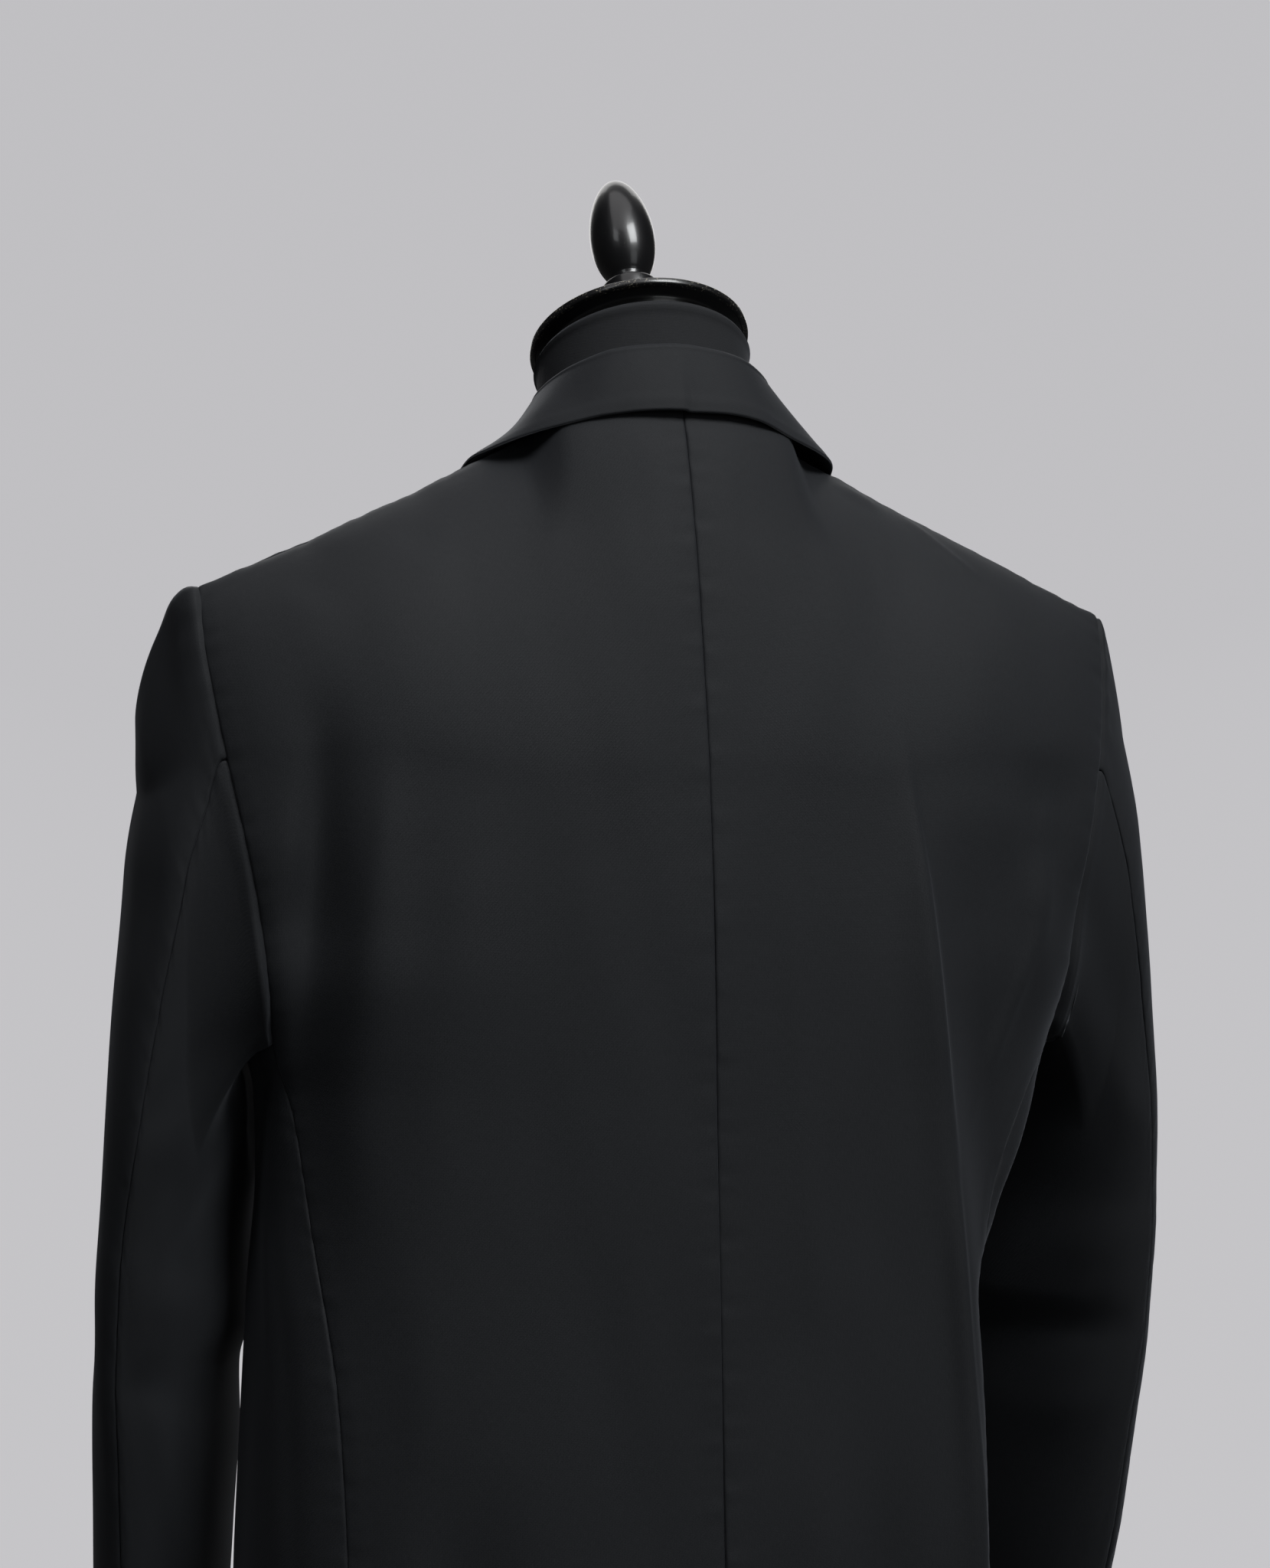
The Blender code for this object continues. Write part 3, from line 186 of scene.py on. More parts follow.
def spread(stops: Sequence[float], per: int, ends: Sequence[float]) -> Array:
    """Places along a grid, with extra ones next to each stop where an edge or a seam lies.

    Args:
        stops: The places that have extra neighbours, the first and last among them.
        per: Places to each whole step.
        ends: Distances of the extra neighbours from a stop.

    Returns:
        Rising places.
    """
    first, last = stops[0], stops[-1]
    made = list(np.linspace(first, last, int(round((last - first) * per)) + 1))
    made = [p for p in made if all(abs(p - s) > ends[-1] * 1.4 for s in stops)]
    for s in stops:
        made += [s] + [s + d for d in ends if s < last] + [s - d for d in ends if s > first]
    return np.array(sorted({round(p, 7) for p in made if first <= p <= last}))


@dataclass(frozen=True)
class Table:
    """Sizes in named columns, read smoothly by the first column."""

    columns: tuple[str, ...]
    rows: tuple[tuple[float, ...], ...]

    def column(self, name: str) -> Array:
        """One column as an array."""
        return np.array([row[self.columns.index(name)] for row in self.rows], float)

    def at(self, name: str, where: Array) -> Array:
        """A column's value at a value of the first column."""
        return smooth(self.column(self.columns[0]), self.column(name), where)


@dataclass(frozen=True)
class Crease:
    """A soft ridge, or with a negative height a trough, along a slightly bent line on a piece."""

    start: Pair
    end: Pair
    width: float
    height: float
    bend: float = 0.0
    skew: float = 0.0
    fade: float = 0.35

    def relief(self, x: Array, z: Array) -> Array:
        """How far the crease stands out at these places."""
        run = np.subtract(self.end, self.start)
        length = float(np.hypot(*run))
        t = ((x - self.start[0]) * run[0] + (z - self.start[1]) * run[1]) / length**2
        away = ((x - self.start[0]) * run[1] - (z - self.start[1]) * run[0]) / length
        away = away - self.bend * np.sin(math.pi * np.clip(t, 0, 1))
        width = self.width * (1 + self.skew * np.sign(away))
        return self.height * bell(away, 0, width) * ease_ends(t, self.fade)


@dataclass(frozen=True)
class Unevenness:
    """Low waves that keep a cloth from lying perfectly even."""

    height: float = 0.00035
    longest: float = 0.16
    shortest: float = 0.035
    waves: int = 9
    widest_turn: float = 0.9
    stretch: float = 0.55

    def relief(self, u: Array, v: Array, seed: int) -> Array:
        """Heights at places on the cloth, in metres."""
        draw = np.random.default_rng(SEED + seed)
        total = np.zeros(np.broadcast(u, v).shape)
        for k in range(self.waves):
            length = self.shortest * (self.longest / self.shortest) ** (k / (self.waves - 1))
            angle = draw.uniform(-self.widest_turn, self.widest_turn)
            phase = draw.uniform(0, 2 * math.pi)
            along = u * math.cos(angle) + self.stretch * v * math.sin(angle)
            total += np.sin(2 * math.pi * along / length + phase) * length / self.longest
        return self.height * total


CREASE_ROWS: dict[str, tuple[tuple[float, ...], ...]] = {
    "back_left": (
        (0.164, 0.745, 0.186, 0.560, 0.011, 0.0022, 0.004, 0.25),
        (0.078, 0.715, 0.123, 0.328, 0.026, -0.0018, 0.006),
        (0.118, 0.700, 0.150, 0.470, 0.015, 0.0011, -0.004),
        (0.205, 0.745, 0.214, 0.640, 0.009, 0.0016),
        (0.036, 0.620, 0.050, 0.330, 0.014, 0.0009),
        (0.150, 0.480, 0.170, 0.230, 0.012, 0.0010, 0.004),
        (0.128, 0.872, 0.150, 0.820, 0.010, -0.0012),
        (0.190, 0.840, 0.205, 0.795, 0.012, -0.0010),
    ),
    "back_right": (
        (0.041, 0.720, 0.062, 0.330, 0.009, 0.0013, 0.003),
        (0.074, 0.640, 0.088, 0.420, 0.012, -0.0010),
        (0.207, 0.735, 0.196, 0.595, 0.008, 0.0024, 0.002),
        (0.172, 0.700, 0.168, 0.560, 0.012, -0.0012),
        (0.131, 0.864, 0.176, 0.819, 0.0032, 0.0013, 0.001, 0.3),
        (0.094, 0.876, 0.124, 0.861, 0.0040, 0.0012),
        (0.109, 0.745, 0.137, 0.490, 0.0048, 0.0026, 0.001, 0.4),
        (0.131, 0.545, 0.147, 0.250, 0.0045, 0.0024, 0.0010, 0.4),
        (0.205, 0.655, 0.150, 0.540, 0.0045, 0.0009, -0.004),
        (0.196, 0.640, 0.146, 0.520, 0.0040, 0.0008, -0.004),
    ),
    "front_left": (
        (0.012, 0.462, 0.090, 0.520, 0.008, 0.0013, -0.006),
        (0.014, 0.448, 0.100, 0.420, 0.009, 0.0012, 0.005),
        (0.060, 0.315, 0.075, 0.175, 0.016, 0.0018, 0.004),
        (0.110, 0.560, 0.128, 0.400, 0.014, -0.0016, 0.006),
        (0.165, 0.760, 0.188, 0.590, 0.012, -0.0030, 0.004),
        (0.130, 0.300, 0.150, 0.175, 0.014, -0.0014),
        (0.128, 0.872, 0.150, 0.820, 0.010, -0.0012),
    ),
    "front_right": (
        (0.030, 0.452, 0.105, 0.505, 0.009, 0.0011, -0.005),
        (0.050, 0.300, 0.058, 0.172, 0.013, -0.0016, 0.003),
        (0.096, 0.290, 0.112, 0.172, 0.016, 0.0016),
        (0.120, 0.555, 0.116, 0.395, 0.012, -0.0014, -0.006),
        (0.160, 0.745, 0.186, 0.600, 0.011, -0.0027, 0.004),
        (0.092, 0.880, 0.126, 0.858, 0.0090, 0.0036, 0.002),
    ),
    "side_left": ((0.206, 0.520, 0.200, 0.250, 0.012, 0.0012),),
    "side_right": ((0.204, 0.500, 0.206, 0.230, 0.012, 0.0013),),
    "sleeve_left": (
        (0.100, 0.640, 0.086, 0.330, 0.0040, 0.0010, 0.002, 0.3),
        (0.285, 0.600, 0.330, 0.520, 0.012, -0.0016, 0.004),
        (0.255, 0.560, 0.310, 0.455, 0.010, 0.0014, 0.004),
        (0.150, 0.520, 0.215, 0.470, 0.010, -0.0022, 0.004),
        (0.160, 0.470, 0.225, 0.440, 0.009, -0.0024, -0.003),
        (0.150, 0.430, 0.210, 0.405, 0.011, -0.0016, 0.002),
        (0.035, 0.740, 0.020, 0.600, 0.010, -0.0012),
        (0.085, 0.745, 0.100, 0.640, 0.011, -0.0013),
    ),
    "sleeve_right": (
        (0.095, 0.650, 0.082, 0.350, 0.0040, 0.0009, -0.002, 0.3),
        (0.290, 0.610, 0.325, 0.500, 0.012, 0.0014, 0.004),
        (0.020, 0.470, 0.050, 0.400, 0.011, -0.0012, 0.004),
        (0.152, 0.505, 0.214, 0.462, 0.009, -0.0020, 0.004),
        (0.158, 0.450, 0.220, 0.430, 0.010, -0.0022, -0.003),
        (0.148, 0.415, 0.205, 0.380, 0.010, -0.0014, 0.002),
        (0.050, 0.735, 0.040, 0.560, 0.010, -0.0010),
    ),
}
CREASES = {
    part: tuple(Crease(row[0:2], row[2:4], *row[4:]) for row in rows) for part, rows in CREASE_ROWS.items()
}


@dataclass(frozen=True)
class BodyForm:
    """The garment's surface round the body, as functions of the height and the distance from the middle."""

    hem_z: float = 0.165
    cuff_z: float = 0.185
    back_top_z: float = 0.575
    front_top_z: float = 0.585
    underarm_dip: float = 0.010
    break_z: float = 0.470
    overlap: float = 0.020
    overlap_shift: float = 0.0014
    overlap_end: float = 0.045
    overlap_fade: float = 0.020
    hem_corner: float = 0.085
    tip: Triple = (0.2540, 0.034, 0.806)
    neck: Triple = (0.080, 0.012, 0.892)
    back_neck: Pair = (0.052, 0.912)
    sag: float = 0.002
    roll_top_x: float = 0.069
    sections: Table = Table(
        ("z", "half_width", "back", "front", "back_squareness", "front_squareness"),
        (
            (0.160, 0.2260, 0.129, 0.127, 3.3, 2.5),
            (0.230, 0.2250, 0.127, 0.125, 3.3, 2.5),
            (0.300, 0.2245, 0.124, 0.123, 3.3, 2.5),
            (0.374, 0.2215, 0.120, 0.120, 3.3, 2.5),
            (0.440, 0.2180, 0.116, 0.120, 3.3, 2.5),
            (0.500, 0.2145, 0.113, 0.121, 3.3, 2.5),
            (0.545, 0.2155, 0.111, 0.122, 3.3, 2.5),
            (0.575, 0.2235, 0.110, 0.122, 3.3, 2.5),
            (0.600, 0.2340, 0.109, 0.122, 3.3, 2.5),
            (0.640, 0.2500, 0.107, 0.120, 2.9, 2.5),
            (0.680, 0.2700, 0.1035, 0.118, 2.6, 2.5),
            (0.720, 0.2750, 0.100, 0.116, 2.5, 2.5),
            (0.790, 0.2750, 0.098, 0.112, 2.5, 2.5),
            (0.920, 0.2750, 0.098, 0.108, 2.5, 2.5),
        ),
    )
    draw: Table = Table(
        ("z", "start", "pull"),
        (
            (0.100, 0.139, 0.046),
            (0.430, 0.139, 0.046),
            (0.480, 0.162, 0.030),
            (0.520, 0.190, 0.013),
            (0.555, 0.205, 0.000),
            (0.900, 0.205, 0.000),
        ),
    )
    neck_blur: tuple[float, ...] = (-0.045, -0.030, -0.018, -0.007, 0.007, 0.018, 0.030, 0.045)
    neck_fade: float = 0.070
    back_edge: Table = Table(
        ("z", "LEFT", "RIGHT"),
        (
            (0.160, 0.1840, 0.1700),
            (0.312, 0.1870, 0.1630),
            (0.400, 0.1910, 0.1600),
            (0.474, 0.1985, 0.1640),
            (0.510, 0.2020, 0.1760),
            (0.540, 0.2060, 0.1930),
            (0.575, 0.2165, 0.2165),
            (0.600, 0.2210, 0.2210),
            (0.640, 0.2266, 0.2266),
            (0.680, 0.2344, 0.2344),
            (0.720, 0.2426, 0.2426),
            (0.760, 0.2497, 0.2497),
            (0.780, 0.2526, 0.2526),
            (0.806, 0.2540, 0.2540),
        ),
    )
    front_edge: Table = Table(
        ("z", "x"),
        (
            (0.160, 0.200),
            (0.300, 0.196),
            (0.480, 0.186),
            (0.585, 0.198),
            (0.640, 0.194),
            (0.700, 0.197),
            (0.745, 0.211),
            (0.780, 0.233),
            (0.806, 0.254),
        ),
    )
    rounding: Table = Table(
        ("x", "back_height", "back_power", "front_height", "front_power"),
        (
            (0.000, 0.200, 1.40, 0.200, 1.50),
            (0.080, 0.180, 1.50, 0.190, 1.60),
            (0.170, 0.120, 1.75, 0.150, 1.70),
            (0.254, 0.090, 1.75, 0.120, 1.70),
        ),
    )
    folds: Table = Table(
        ("side", "top_x", "top_z", "foot_x", "foot_z", "half_width", "height"),
        (
            (1, 0.196, 0.790, 0.206, 0.380, 0.015, -0.0140),
            (1, 0.128, 0.380, 0.130, 0.120, 0.022, -0.0045),
            (1, 0.060, 0.330, 0.052, 0.110, 0.026, 0.0035),
            (-1, 0.057, 0.430, 0.060, 0.110, 0.022, 0.0045),
            (-1, 0.092, 0.360, 0.097, 0.110, 0.018, -0.0035),
            (-1, 0.205, 0.735, 0.198, 0.640, 0.018, -0.0050),
        ),
    )
    ridge: Table = Table(
        ("z", "x", "height", "fall"),
        (
            (0.100, 0.1440, 0.0045, 0.150),
            (0.293, 0.1410, 0.0050, 0.160),
            (0.397, 0.1390, 0.0050, 0.170),
            (0.500, 0.1310, 0.0045, 0.160),
            (0.555, 0.1240, 0.0040, 0.130),
            (0.638, 0.1150, 0.0030, 0.060),
            (0.700, 0.1090, 0.0010, 0.000),
            (0.760, 0.1050, 0.0000, 0.000),
        ),
    )
    fold_fade: float = 0.4
    ridge_half_width: float = 0.012
    ridge_fall_width: float = 0.040
    ridge_end_z: float = 0.70
    ridge_end_fade: float = 0.08
    probe: float = 0.001
    left_stops: tuple[float, ...] = (0.080, 0.110, 0.139, 0.164, 0.186, 0.208, 0.231, 0.254)
    right_stops: tuple[float, ...] = (0.080, 0.095, 0.107, 0.122, 0.145, 0.175, 0.215, 0.254)
    ridge_stop: float = 0.107

    def shoulder(self, x: Array) -> tuple[Array, Array]:
        """(y, z) of the shoulder seam at this distance from the middle."""
        t = (x - self.neck[0]) / (self.tip[0] - self.neck[0])
        sag = self.sag * np.sin(math.pi * np.clip(t, 0, 1))
        return mix(self.neck[1], self.tip[1], t), mix(self.neck[2], self.tip[2], t) - sag

    def top_edge(self, x: Array) -> tuple[Array, Array]:
        """(y, z) of the back neckline and the shoulder seam, eased into each other."""
        reach = self.neck[0]
        knots = np.array((0, 0.30, 0.56, 0.78, 1.0, 1.25, 1.7, 2.3, self.tip[0] / reach)) * reach
        bend = np.sqrt(np.clip(1 - (knots / (1.04 * reach)) ** 2, 0, 1)) * (knots < reach)
        seam_y, seam_z = self.shoulder(np.maximum(knots, reach))
        y = mix(seam_y, self.back_neck[0], bend)
        z = mix(seam_z, self.back_neck[1], bend)
        return smooth(knots, y, x), smooth(knots, z, x)

    def draped(self, hand: Hand, x: Array, y: Array, z: Array) -> Array:
        """The back's y with its folds and, on the right, its long ridge."""
        table = self.folds
        for row in table.rows:
            fold = dict(zip(table.columns, row))
            if fold["side"] != hand.value:
                continue
            t = (fold["top_z"] - z) / (fold["top_z"] - fold["foot_z"])
            line = mix(fold["top_x"], fold["foot_x"], t)
            y = y + fold["height"] * bell(x, line, fold["half_width"]) * ease_ends(t, self.fold_fade)
        if hand is Hand.LEFT:
            return y
        line = self.ridge.at("x", z)
        beyond = ease((x - line) / self.ridge_fall_width)
        bump = bell(x, line, self.ridge_half_width)
        return y * (1 - self.ridge.at("fall", z) * beyond) + self.ridge.at("height", z) * bump

    def full(self, face: str, x: Array, z: Array) -> Array:
        """How deep the plain section is behind or in front."""
        share = x / self.sections.at("half_width", z)
        return self.sections.at(face, z) * quarter(share, self.sections.at(f"{face}_squareness", z))

    def drawn_in(self, hand: Hand, x: Array, z: Array) -> Array:
        """x with the right side pulled in towards the body beyond its long fold."""
        if hand is Hand.LEFT:
            return x
        start = self.draw.at("start", z)
        return x - self.draw.at("pull", z) * ease((x - start) / (self.sections.at("half_width", z) - start))

    def back_y(self, hand: Hand, x: Array, z: Array) -> Array:
        """The back's surface, as y over x and z."""
        seam_y, seam_z = self.top_edge(x)
        near = [self.top_edge(np.abs(x + step)) for step in self.neck_blur]
        fade = ease((seam_z - z) / self.neck_fade)
        seam_y = mix(seam_y, np.mean([y for y, _ in near], axis=0), fade)
        seam_z = mix(seam_z, np.mean([top for _, top in near], axis=0), fade)
        rise = arch((seam_z - z) / self.rounding.at("back_height", x), self.rounding.at("back_power", x))
        return self.draped(hand, x, mix(seam_y, self.full("back", x, z), rise), z)

    def front_y(self, hand: Hand, x: Array, z: Array) -> Array:
        """The front's surface, as y over its own x and z."""
        far = np.abs(x)
        seam_y, seam_z = self.shoulder(np.maximum(far, self.neck[0]))
        rise = arch(
            (seam_z - z) / self.rounding.at("front_height", far), self.rounding.at("front_power", far)
        )
        shift = hand.value * self.overlap_shift * ease((self.overlap_end - x) / self.overlap_fade)
        return mix(seam_y, -self.full("front", far, z), rise) - shift

    def inner_x(self, z: Array) -> Array:
        """The front's inner edge: the roll line, then the buttoning edge and the hem's corner."""
        up = np.clip((z - self.break_z) / (self.neck[2] - self.break_z), 0, 1)
        corner = np.clip((self.hem_z + self.hem_corner - z) / self.hem_corner, 0, 1)
        cut = self.hem_corner * (1 - np.sqrt(1 - 0.96 * corner**2))
        return np.where(z > self.break_z, mix(-self.overlap, self.roll_top_x, up), -self.overlap + cut)

    def stops(self, hand: Hand) -> Array:
        """Distances of the panels' columns along the shoulder seam."""
        return np.array(self.left_stops if hand is Hand.LEFT else self.right_stops)

    def column_x(self, hand: Hand, stops: Array, edge: Array, z: Array) -> Array:
        """Where the back's columns lie: drawn in evenly on the left, along the ridge on the right."""
        plain = stops / self.tip[0] * edge
        if hand is Hand.LEFT:
            return plain
        ridge = self.ridge.at("x", z)
        beyond = (stops - self.ridge_stop) / (self.tip[0] - self.ridge_stop)
        along = np.where(
            stops < self.ridge_stop, stops / self.ridge_stop * ridge, mix(ridge, edge, beyond)
        )
        return mix(along, plain, ease((z - self.ridge_end_z) / self.ridge_end_fade))

    def front_point(self, hand: Hand, x: Array, z: Array) -> Array:
        """The front's points, on the left side, at its own x and z."""
        return stack(self.drawn_in(hand, x, z), self.front_y(hand, x, z), z)

    def on_front(self, hand: Hand, x: Array, z: Array, lift: Array) -> Array:
        """Points that lie lift above the front at its own x and z."""
        d = self.probe
        across = self.front_point(hand, x + d, z) - self.front_point(hand, x - d, z)
        up = self.front_point(hand, x, z + d) - self.front_point(hand, x, z - d)
        points = self.front_point(hand, x, z) + unit(np.cross(across, up)) * np.asarray(lift)[..., None]
        return points * (hand.value, 1, 1)


FORM = BodyForm()
LOWER, UPPER = 13.0, 11.0
TOP = LOWER + UPPER
DROP_POWER = 1.6
Surface = Callable[[Array, Array], Array]


def drop_of(row: Array) -> Array:
    """How far a row lies below the shoulder seam: 1 up to the underarm and 0 at the seam."""
    return np.clip(1 - (row - LOWER) / UPPER, 0, 1) ** DROP_POWER


def back_surface(hand: Hand) -> Surface:
    """The back panel as points over (row, column): rows from the hem up, columns from the middle out."""

    def at(row: Array, column: Array) -> Array:
        neck = np.linspace(0, FORM.neck[0], 3, endpoint=False)
        all_stops = np.concatenate((neck, FORM.stops(hand)))
        stops = np.interp(column, np.arange(len(all_stops)), all_stops)
        low_z = mix(FORM.hem_z, FORM.back_top_z, row / LOWER)
        drop = drop_of(row)
        z = np.where(row > LOWER, mix(FORM.top_edge(stops)[1], FORM.back_top_z, drop), low_z)
        edge_z = np.where(row > LOWER, mix(FORM.tip[2], FORM.back_top_z, drop), low_z)
        x = FORM.column_x(hand, stops, FORM.back_edge.at(hand.name, edge_z), z)
        x = np.where(row >= TOP, stops, x)
        return stack(hand.value * FORM.drawn_in(hand, x, z), FORM.back_y(hand, x, z), z)

    return at


def side_surface(hand: Hand) -> Surface:
    """The side panel: rows from the hem up to the underarm, columns from the back seam forward."""

    def at(row: Array, column: Array) -> Array:
        across = column / 4.0
        dip = FORM.underarm_dip * np.sin(math.pi * across)
        z = mix(FORM.hem_z, mix(FORM.back_top_z, FORM.front_top_z, across) - dip, row / LOWER)
        width = FORM.sections.at("half_width", z)
        behind, before = (FORM.sections.at(f"{face}_squareness", z) for face in ("back", "front"))
        back = np.arccos((FORM.back_edge.at(hand.name, z) / width) ** (behind / 2))
        front = -np.arccos((FORM.front_edge.at("x", z) / width) ** (before / 2))
        turn = mix(back, front, across)
        power = np.where(turn > 0, behind, before)
        x = width * np.cos(turn) ** (2 / power)
        depth = np.where(turn > 0, FORM.sections.at("back", z), -FORM.sections.at("front", z))
        y = depth * np.abs(np.sin(turn)) ** (2 / power)
        y = np.where(turn > 0, FORM.draped(hand, x, y, z), y)
        return stack(hand.value * FORM.drawn_in(hand, x, z), y, z)

    return at


def front_surface(hand: Hand) -> Surface:
    """The front panel: rows from the hem up, columns from the side seam or armhole in."""

    def at(row: Array, column: Array) -> Array:
        outward = FORM.stops(hand)[::-1]
        seam_x = np.interp(column, np.arange(len(outward)), outward)
        across = (FORM.tip[0] - seam_x) / (FORM.tip[0] - FORM.neck[0])
        low_z = mix(FORM.hem_z, FORM.front_top_z, row / LOWER)
        drop = drop_of(row)
        z = np.where(row > LOWER, mix(FORM.shoulder(seam_x)[1], FORM.front_top_z, drop), low_z)
        edge_z = np.where(row > LOWER, mix(FORM.tip[2], FORM.front_top_z, drop), low_z)
        x = mix(FORM.front_edge.at("x", edge_z), FORM.inner_x(z), across)
        x = np.where(row > LOWER, mix(x, seam_x, ease(1 - drop) ** 3), x)
        return FORM.front_point(hand, x, z) * (hand.value, 1, 1)

    return at


def distances(grid: Array, axis: int) -> Array:
    """Lengths along a grid's rows or columns from its first point."""
    steps = np.linalg.norm(np.diff(grid, axis=axis), axis=2)
    zero = np.zeros_like(np.take(steps, [0], axis=axis))
    return np.cumsum(np.concatenate((zero, steps), axis=axis), axis=axis)


def normals_of(grid: Array, out: Array) -> Array:
    """Unit normals at a grid's points, on the side that the vectors out point to."""
    normal = unit(np.cross(np.gradient(grid, axis=1), np.gradient(grid, axis=0)))
    return normal if np.sum(normal * out) > 0 else -normal


@dataclass
class Wall:
    """A cut piece of cloth: a thin closed shell round a grid of points, with finished edges."""

    name: str
    grid: Array
    out: Array
    edges: dict[str, Edge]
    relief: Optional[Array] = None
    thickness: float = CLOTH
    seam_radius: float = 0.0017
    seam_depth: float = 0.0012
    seam_gap: float = 0.00003
    seam_ridge: Triple = (0.00022, 0.007, 0.0035)
    fold_roundness: float = 1.25
    fold_ridge: Triple = (0.00025, 0.006, 0.003)
    pucker: float = 0.00022
    pucker_start: float = 0.002
    pucker_reach: float = 0.006
    pucker_lengths: tuple[float, ...] = (0.011, 0.017, 0.029)
    last_phase: float = 6.28
    seed: int = 0

    def edge_distances(self) -> dict[str, Array]:
        """How far each point lies from each edge."""
        across, up = distances(self.grid, 1), distances(self.grid, 0)
        return {
            "first": across,
            "last": across[:, -1:] - across,
            "bottom": up,
            "top": up[-1:] - up,
        }

    @staticmethod
    def ridge(far: Array, size: Triple) -> Array:
        """The low ridge that the layers under an edge press up beside it."""
        height, middle, width = size
        return height * bell(far, middle, width)

    def offsets(self) -> tuple[Array, Array]:
        """(outer, inner) heights of the shell's two faces over the grid."""
        half = self.thickness / 2
        outer = np.full(self.grid.shape[:2], half)
        inner = -outer
        relief = np.zeros_like(outer) if self.relief is None else self.relief.copy()
        draw = np.random.default_rng(SEED + self.seed)
        for edge, far in self.edge_distances().items():
            style = self.edges.get(edge, Edge.HIDDEN)
            if style is Edge.FOLDED:
                round_off = round_edge(far, half * self.fold_roundness)
                outer, inner = outer * round_off, inner * round_off
                relief = relief + self.ridge(far, self.fold_ridge)
            elif style is Edge.SEAM:
                fall = 1 - round_edge(far, self.seam_radius)
                outer = outer - self.seam_depth * fall
                along = distances(self.grid, 0 if edge in ("first", "last") else 1)
                wave = sum(
                    np.sin(2 * math.pi * along / length + draw.uniform(0, self.last_phase))
                    for length in self.pucker_lengths
                )
                near = np.exp(-far / self.pucker_reach) * np.clip(far / self.pucker_start, 0, 1)
                relief = relief + self.pucker * wave * near
                relief = relief + self.ridge(far, self.seam_ridge)
        return outer + relief, inner + relief

    def build(self) -> Piece:
        """The shell as an object, with a UV map in metres.

        Returns:
            The new object, linked to the scene.
        """
        grid = self.grid.copy()
        pairs = {
            "bottom": (grid[0], grid[1]),
            "top": (grid[-1], grid[-2]),
            "first": (grid[:, 0], grid[:, 1]),
            "last": (grid[:, -1], grid[:, -2]),
        }
        for edge, style in self.edges.items():
            if style is Edge.SEAM:
                pairs[edge][0][:] += unit(pairs[edge][1] - pairs[edge][0]) * self.seam_gap
        normal = normals_of(self.grid, self.out)
        outer, inner = self.offsets()
        count = grid.shape[0] * grid.shape[1]
        layers = [(grid + normal * height[..., None]).reshape(-1, 3) for height in (outer, inner)]
        rows, columns = grid.shape[:2]
        i, j = (part.ravel() for part in np.meshgrid(range(rows - 1), range(columns - 1), indexing="ij"))
        a = i * columns + j
        quads = np.stack((a, a + 1, a + columns + 1, a + columns), axis=1)
        rim = list(range(columns))
        rim += [k * columns + columns - 1 for k in range(1, rows)]
        rim += [(rows - 1) * columns + k for k in range(columns - 2, -1, -1)]
        rim += [k * columns for k in range(rows - 2, 0, -1)]
        rim = np.array(rim)
        after = np.roll(rim, -1)
        border = np.stack((rim, rim + count, after + count, after), axis=1)
        faces = np.concatenate((quads, quads[:, ::-1] + count, border))
        points = np.concatenate(layers)
        width, height = distances(self.grid, 1).ravel(), distances(self.grid, 0).ravel()
        uv = np.tile(np.stack((width, height), axis=1), (2, 1))
        corner = points[quads]
        facing = np.cross(corner[:, 1] - corner[:, 0], corner[:, 3] - corner[:, 0])
        if np.sum(facing * normal.reshape(-1, 3)[quads[:, 0]]) < 0:
            faces = faces[:, ::-1]
        return new_piece(self.name, points, faces, uv)


def new_piece(
    name: str, points: Array, faces: Sequence[Sequence[int]], uv: Optional[Array] = None
) -> Piece:
    """A smooth-shaded mesh object at the origin.

    Args:
        name: The piece's name.
        points: Its points, in metres.
        faces: Its faces, as point numbers.
        uv: A map place for each point, in metres, or none.

    Returns:
        The new object, linked to the scene.
    """
    mesh = bpy.data.meshes.new(name)
    mesh.from_pydata(np.asarray(points).tolist(), [], [list(map(int, face)) for face in faces])
    if uv is not None:
        layer = mesh.uv_layers.new(name="cloth")
        index = np.empty(len(mesh.loops), int)
        mesh.loops.foreach_get("vertex_index", index)
        layer.data.foreach_set("uv", uv[index].astype(np.float32).ravel())
    mesh.shade_smooth()
    made = bpy.data.objects.new(name, mesh)
    bpy.context.scene.collection.objects.link(made)
    return made


@contextmanager
def editing(made: Piece) -> Iterator[bmesh.types.BMesh]:
    """The object's mesh to edit, written back at the end."""
    work = bmesh.new()
    work.from_mesh(made.data)
    yield work
    work.to_mesh(made.data)
    work.free()


def move_points(made: Piece, move: Callable[[Array], Array]) -> None:
    """Gives each point of the object's mesh the place that a function makes of its own."""
    places = np.empty(len(made.data.vertices) * 3)
    made.data.vertices.foreach_get("co", places)
    made.data.vertices.foreach_set("co", move(places.reshape(-1, 3)).ravel())


def smooth_up_to(made: Piece, degrees: float) -> None:
    """Smooth shading, with edges sharper than this angle kept sharp."""
    made.data.shade_smooth()
    made.data.set_sharp_from_angle(angle=math.radians(degrees))


